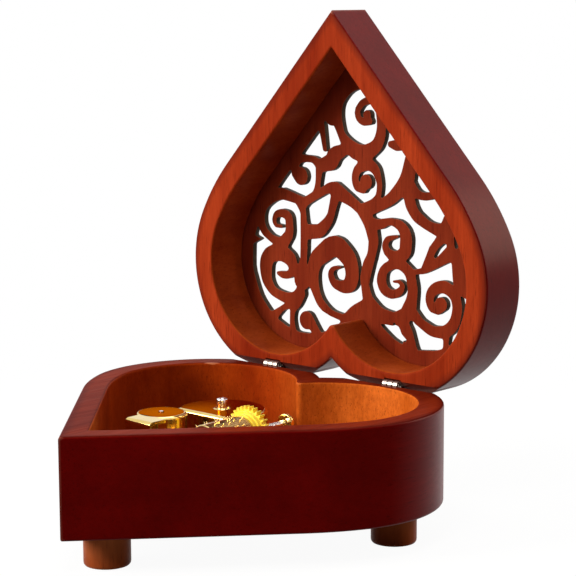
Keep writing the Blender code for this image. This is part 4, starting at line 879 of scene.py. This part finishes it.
# %% [markdown]
# ## The feet
#
# Each foot is a short turned peg. A lathe profile spun round its axis gives the soft arrises,
# and a shallow dish in the sole shows the wood screw's pocket from below.

# %% Feet
def middle(name):
    """The plan middle of a solid."""
    a, b = low(name), high(name)
    return ((a.x + b.x) / 2, (a.y + b.y) / 2 - TIP_Y)


FOOT_RADIUS = (high("foot_tip").x - low("foot_tip").x) / 2
foot_top = high("foot_tip").z
profile = [(0.02, 1.6), (2.0, 1.6), (2.2, 1.4), (2.3, 0.15), (2.5, 0.0), (FOOT_RADIUS - 0.9, 0.0),
           (FOOT_RADIUS - 0.35, 0.12), (FOOT_RADIUS - 0.08, 0.5), (FOOT_RADIUS, 1.0),
           (FOOT_RADIUS, foot_top - 0.3), (FOOT_RADIUS - 0.2, foot_top), (0.02, foot_top)]
for name in ("foot_tip", "foot_left", "foot_right"):
    bm = skin(bmesh.new(), spun(profile, middle(name)))
    settle(finished(f"turned_{name}", bm, WOOD_FOOT), "case", "stained_wood", name)

# %% [markdown]
# ## The spring housing
#
# The mainspring sits in a D-shaped cup, pressed from thin sheet and plated. Pressing rounds its
# top edge, and the arbor comes up through a small raised collar. The cup is one closed skin: up
# the outside, over the edge, down the collar and back up the inside.

# %% Spring housing
SHEET, LEG_SHEET = 1.0, 1.2
HOUSING_RADIUS, HOUSING_FLAT, HOUSING_ROUND = 13.4, 8.5, 1.1
HOUSING_BOTTOM, LUG_REACH, LUG_WIDTH, LUG_HEIGHT = 18.73, 2.2, 4.4, 3.0
HOUSING_SIDES, LEG_ANGLES = 120, (45, 105, 165)
SAME_LEVEL = 0.02
STAND = low("spring_housing").z
BARREL = middle("winding_arbor")
housing_top = high("spring_housing").z


def cup_ring(inset, height):
    """The D-shaped outline of the housing at a height, drawn in by a distance."""
    ring = []
    for i in range(HOUSING_SIDES):
        a = 2 * math.pi * i / HOUSING_SIDES
        reach = HOUSING_RADIUS - inset
        if math.sin(a) < 0:
            reach = min(reach, (HOUSING_FLAT - inset) / -math.sin(a))
        ring.append((BARREL[0] + reach * math.cos(a), BARREL[1] + reach * math.sin(a), height))
    return ring


def rolled_edge(radius, top, steps):
    """The quarter round of a pressed edge, as pairs of inset and height up to the flat."""
    turn = [math.pi / 2 * i / steps for i in range(steps + 1)]
    return [(radius * (1 - math.cos(a)), top - radius * (1 - math.sin(a))) for a in turn]


def block(bm, x, y, z, turn=Matrix(), ease=0.15):
    """An eased block between limits in millimetres, turned about an axis."""
    made = bmesh.ops.create_cube(bm, size=1.0)["verts"]
    size = [(b - a) * MM for a, b in (x, y, z)]
    centre = Vector([(a + b) / 2 * MM for a, b in (x, y, z)])
    bmesh.ops.transform(bm, verts=made, matrix=turn @ Matrix.Translation(centre) @ Matrix.Diagonal((*size, 1)))
    edges = list({edge for v in made for edge in v.link_edges})
    bmesh.ops.bevel(bm, geom=edges, offset=ease * MM, segments=2, affect="EDGES", profile=0.5)


def painted_reflection_top(bm, level, centre, reach):
    """Give the flat top inside a circle a painted reflection of the orange walls; what reaches out keeps its paler
    plating.
    """
    for face in bm.faces:
        flat = all(abs(v.co.z / MM - level) < SAME_LEVEL for v in face.verts)
        if flat and all(math.dist((v.co.x / MM, v.co.y / MM), centre) < reach for v in face.verts):
            face.material_index = 1


under_top = housing_top - SHEET
rings = [cup_ring(SHEET, HOUSING_BOTTOM), cup_ring(0, HOUSING_BOTTOM)]
rings += [cup_ring(inset, height) for inset, height in rolled_edge(HOUSING_ROUND, housing_top, 6)]
collar = [(2.6, 0.0), (2.45, 0.05), (2.35, 0.2), (2.2, 0.25), (2.05, 0.25), (1.95, 0.15), (1.95, -SHEET)]
rings += spun([(radius, housing_top + rise) for radius, rise in collar], BARREL, sides=HOUSING_SIDES)
rings += [cup_ring(SHEET + 0.3, under_top), cup_ring(SHEET, under_top - 0.4)]
bm = skin(bmesh.new(), rings, looped=True)
side, leg_out = (-LUG_WIDTH / 2, LUG_WIDTH / 2), HOUSING_RADIUS + LUG_REACH
leg_in, lug_top = leg_out - LEG_SHEET, HOUSING_BOTTOM + LUG_HEIGHT
for angle in LEG_ANGLES:
    turn = Matrix.Translation(Vector((*BARREL, 0)) * MM) @ Matrix.Rotation(math.radians(angle), 4, "Z")
    block(bm, (HOUSING_RADIUS - 0.5, leg_out), side, (lug_top - LEG_SHEET, lug_top), turn)
    block(bm, (leg_in, leg_out), side, (STAND, lug_top), turn)
# The flat top gets the painted reflection of the orange walls.
painted_reflection_top(bm, housing_top, BARREL, HOUSING_RADIUS)
settle(finished("drawn_housing", bm, GOLD, GOLD_WITH_PAINTED_REFLECTION, crisp=50.0), "case", "gold_plate", "spring_housing")

# %% [markdown]
# ## The governor's cap and its lip
#
# The fan of the governor spins under a round cap. A strip reaches forward from the cap and bends
# down in a tight curve to its foot, and that bend is the brightest spot of the movement. The cap
# is a lathe profile and the strip is one folded section carried across its width.

# %% Governor cap
GOVERNOR = middle("governor_worm")
GOVERNOR_RADIUS, GOVERNOR_SKIRT, GOVERNOR_ROUND, GOVERNOR_BORE = 7.4, 6.8, 0.8, 0.95
TAB_LOW_X, TAB_HIGH_X, TAB_FOOT, TAB_OVERLAP, LUG_HALF = -21.6, -11.6, 3.4, 1.5, 2.4
cap_top = high("governor_frame").z
tab_end = low("governor_frame").y - TIP_Y
under_cap, skirt_low = cap_top - SHEET, cap_top - SHEET - GOVERNOR_SKIRT
over = [(GOVERNOR_RADIUS - inset, height) for inset, height in rolled_edge(GOVERNOR_ROUND, cap_top, 5)]
profile = [(GOVERNOR_RADIUS, skirt_low), *over, (GOVERNOR_BORE, cap_top), (GOVERNOR_BORE, under_cap),
           (GOVERNOR_RADIUS - SHEET, under_cap), (GOVERNOR_RADIUS - SHEET, skirt_low)]
bm = skin(bmesh.new(), spun(profile, GOVERNOR, sides=96), looped=True)
root = GOVERNOR[1] - GOVERNOR_RADIUS + TAB_OVERLAP
fold = eased([
    (root, cap_top, 0), (tab_end, cap_top, 1.3), (tab_end, STAND, 1.3), (tab_end + TAB_FOOT, STAND, 0.1),
    (tab_end + TAB_FOOT, STAND + SHEET, 0.3), (tab_end + SHEET, STAND + SHEET, 0.4),
    (tab_end + SHEET, under_cap, 0.4), (root, under_cap, 0),
], 6)
across = (TAB_LOW_X, TAB_LOW_X + 0.15, TAB_HIGH_X - 0.15, TAB_HIGH_X)
skin(bm, [[(x, y, z) for y, z in fold] for x in across])
block(bm, (GOVERNOR[0] - GOVERNOR_RADIUS, GOVERNOR[0] - GOVERNOR_RADIUS + SHEET),
      (GOVERNOR[1] - LUG_HALF, GOVERNOR[1] + LUG_HALF), (STAND, skirt_low + 1))
# The flat top gets the painted reflection of the orange walls.
painted_reflection_top(bm, cap_top, GOVERNOR, GOVERNOR_RADIUS)
settle(finished("governor_cap", bm, GOLD, GOLD_WITH_PAINTED_REFLECTION, crisp=50.0), "case", "gold_plate", "governor_frame")

# %% [markdown]
# ## Softened machine parts
#
# The bedplate, the comb and its bridge, the gear and the key are milled or stamped and then
# tumbled, so their arrises are broken by a hair. A copy of each solid has its flat faces merged
# and its sharp edges bevelled.

# %% Softened machine parts
def softened(name, body, ease, material, slot):
    """A copy of a solid with its sharp arrises broken."""
    bm = bmesh.new()
    bm.from_mesh(nodes[name].data)
    bm.transform(nodes[name].matrix_world)
    bmesh.ops.remove_doubles(bm, verts=bm.verts, dist=WELD)
    bmesh.ops.dissolve_limit(bm, angle_limit=math.radians(1.5), verts=bm.verts, edges=bm.edges)
    arrises = [edge for edge in bm.edges
               if len(edge.link_faces) == 2 and edge.calc_face_angle(0) > math.radians(40)]
    bmesh.ops.bevel(bm, geom=arrises, offset=ease * MM, segments=2, affect="EDGES", profile=0.5,
                    clamp_overlap=True)
    hand_over(finished(f"eased_{name}", bm, material, crisp=40.0), body, slot, name)


softened("bedplate", "case", 0.2, GOLD, "gold_plate")
softened("comb_bridge", "case", 0.2, GOLD, "gold_plate")
softened("comb", "case", 0.06, STEEL, "steel")
softened("cylinder_gear", "cylinder", 0.10, YELLOW_NYLON, "yellow_nylon")
softened("winding_key", "winding", 0.3, BRASS, "brass")

# %% [markdown]
# ## The cylinder's brackets
#
# Each end of the cylinder runs in an upright of thick sheet. It narrows to a round top about the
# bearing and turns out into a foot below. The outline of the upright is filled round the bore as
# a plate with broken arrises, and the foot is an eased block.

# %% Cylinder brackets
AXIS = (6.2, 28.3)
BRACKET_HALF, BRACKET_SHOULDER, BEARING_RADIUS = 4.5, -7.0, 1.3
for name in ("cylinder_bracket_front", "cylinder_bracket_back"):
    front, back = low(name).y - TIP_Y, high(name).y - TIP_Y
    foot_z, top = low(name).z, high(name).z - AXIS[1]
    arch = [(-BRACKET_HALF, foot_z - AXIS[1]), (BRACKET_HALF, foot_z - AXIS[1]), (BRACKET_HALF, BRACKET_SHOULDER)]
    arch += [(top * math.cos(a), top * math.sin(a)) for a in [math.radians(-8 + 196 * i / 28) for i in range(29)]]
    arch.append((-BRACKET_HALF, BRACKET_SHOULDER))
    bore = [(x, y) for x, y, _ in spun([(BEARING_RADIUS, 0)], (0, 0), sides=32)[0]]
    bm = eased_plate("upright", [arch, bore], (0, LEG_SHEET), 0.15)
    bm.transform(Matrix.Translation(Vector((AXIS[0], front + LEG_SHEET, AXIS[1])) * MM)
                 @ Matrix.Rotation(math.pi / 2, 4, "X"))
    block(bm, (AXIS[0] - BRACKET_HALF, AXIS[0] + BRACKET_HALF), (front + 0.3, back), (foot_z, foot_z + LEG_SHEET))
    settle(finished(f"arched_{name}", bm, GOLD, crisp=40.0), "case", "gold_plate", name)

# %% [markdown]
# ## The pinned drum
#
# The tune is a drum with rows of fine pins, one row for each note of the comb. The solid carries
# only two pins a row. Here each row gets several, at places drawn from a seeded list so that they
# come out the same each time. The pins are small eased blocks standing on a turned drum.

# %% Pinned drum
DRUM_RADIUS, DRUM_BORE, DRUM_EASE, NOTES, NOTE_PITCH = 5.2, 1.35, 0.3, 18, 0.84
BEATS, PIN_CHANCE, PIN_HEIGHT, PIN_HALF = 40, 0.14, 0.55, 0.14
start, end = low("cylinder_drum").y - TIP_Y, high("cylinder_drum").y - TIP_Y
profile = [(DRUM_BORE, start), (DRUM_RADIUS - DRUM_EASE, start), (DRUM_RADIUS, start + DRUM_EASE),
           (DRUM_RADIUS, end - DRUM_EASE), (DRUM_RADIUS - DRUM_EASE, end), (DRUM_BORE, end)]
bm = skin(bmesh.new(), spun(profile, AXIS, "Y", 72), looped=True)
luck = random.Random(18)
pins = 0
for note in range(NOTES):
    y = start + (note + 0.5) * NOTE_PITCH
    if y > end - DRUM_EASE:
        continue
    for beat in range(BEATS):
        if luck.random() > PIN_CHANCE:
            continue
        turn = (Matrix.Translation(Vector((AXIS[0], y, AXIS[1])) * MM)
                @ Matrix.Rotation(2 * math.pi * beat / BEATS, 4, "Y"))
        pin = (-PIN_HALF, PIN_HALF)
        block(bm, pin, pin, (DRUM_RADIUS - 0.1, DRUM_RADIUS + PIN_HEIGHT), turn, 0.05)
        pins += 1
print("pins on the drum:", pins)
settle(finished("pinned_drum", bm, BRASS, crisp=45.0), "cylinder", "brass", "cylinder_drum")

# %% [markdown]
# ## Screws and the arbor's end
#
# Domed slotted screws hold the comb, and lower ones hold the bedplate's corners. A slot is hard
# to cut into a dome of rings, so the head is two half domes with a gap between them and a plain
# disc below. The arbor's end is broken by a small chamfer and keeps the dimple of the lathe centre.

# %% Screws and arbor
SLOT_WIDTH, DOME_RINGS, DOME_STEPS, DOME_REACH = 0.45, 8, 14, 0.94
COMB_HEAD, COMB_RISE, COMB_SHANK = 1.9, 1.5, 0.9
BED_HEAD, BED_RISE = 2.0, 1.0
BED_CORNERS = [(-26.6, 46.6), (21.6, 46.6), (21.6, 88.2)]


def slotted_head(bm, centre, seat, radius, rise, turn, depth=0.7):
    """A domed screw head with a slot, standing on its seat."""
    base = max(seat, seat + rise - depth)
    skin(bm, spun([(0.01, seat), (radius, seat), (radius, base), (0.01, base)], centre, sides=48))
    for facing in (turn, turn + math.pi):
        rings = []
        for k in range(DOME_RINGS + 1):
            lean = k / DOME_RINGS * math.pi / 2
            reach = radius * math.cos(lean * DOME_REACH)
            height = base + (seat + rise - base) * math.sin(lean)
            half = math.acos(min(1.0, SLOT_WIDTH / 2 / reach)) if reach > SLOT_WIDTH / 2 else 0.0
            fan = [facing - half + 2 * half * i / DOME_STEPS for i in range(DOME_STEPS + 1)]
            rings.append([(centre[0] + reach * math.cos(a), centre[1] + reach * math.sin(a), height) for a in fan])
        skin(bm, rings)


for number in (1, 2):
    name = f"comb_screw_{number}"
    centre, seat, foot = middle(name), high(name).z - COMB_RISE, low(name).z
    shank = [(0.01, seat + 0.05), (COMB_SHANK, seat + 0.05), (COMB_SHANK, foot), (0.01, foot)]
    bm = skin(bmesh.new(), spun(shank, centre, sides=24))
    slotted_head(bm, centre, seat, COMB_HEAD, COMB_RISE, 0.5 + 1.1 * number)
    settle(finished(f"slotted_{name}", bm, BRASS, crisp=30.0), "case", "brass", name)

for number, centre in enumerate(BED_CORNERS, 1):
    bm = bmesh.new()
    slotted_head(bm, centre, high("bedplate").z, BED_HEAD, BED_RISE, 0.7 * number, 0.6)
    settle(finished(f"bed_screw_{number}", bm, BRASS, crisp=30.0), "case", "brass")

radius = (high("winding_arbor").x - low("winding_arbor").x) / 2
bottom, top = low("winding_arbor").z, high("winding_arbor").z
profile = [(0.01, bottom), (radius - 0.2, bottom), (radius, bottom + 0.2), (radius, top - 0.35),
           (radius - 0.1, top - 0.12), (radius - 0.35, top), (0.5, top), (0.4, top - 0.2), (0.01, top - 0.3)]
bm = skin(bmesh.new(), spun(profile, BARREL))
settle(finished("turned_arbor", bm, CHROME, crisp=50.0), "winding", "steel", "winding_arbor")

# %% [markdown]
# ## The hinges
#
# Two small plated hinges join the frames at the back of the lobes. Their knuckles show as bright
# rolled barrels with fine gaps, and the pin ends peep out. The leaves sink into the wood, so
# copies of the solids with broken arrises are enough.

# %% Hinges
for side in ("left", "right"):
    for part, body in (("base_leaf", "case"), ("lid_leaf", "lid"), ("pin", "case")):
        softened(f"hinge_{side}_{part}", body, 0.12, NICKEL, "nickel")
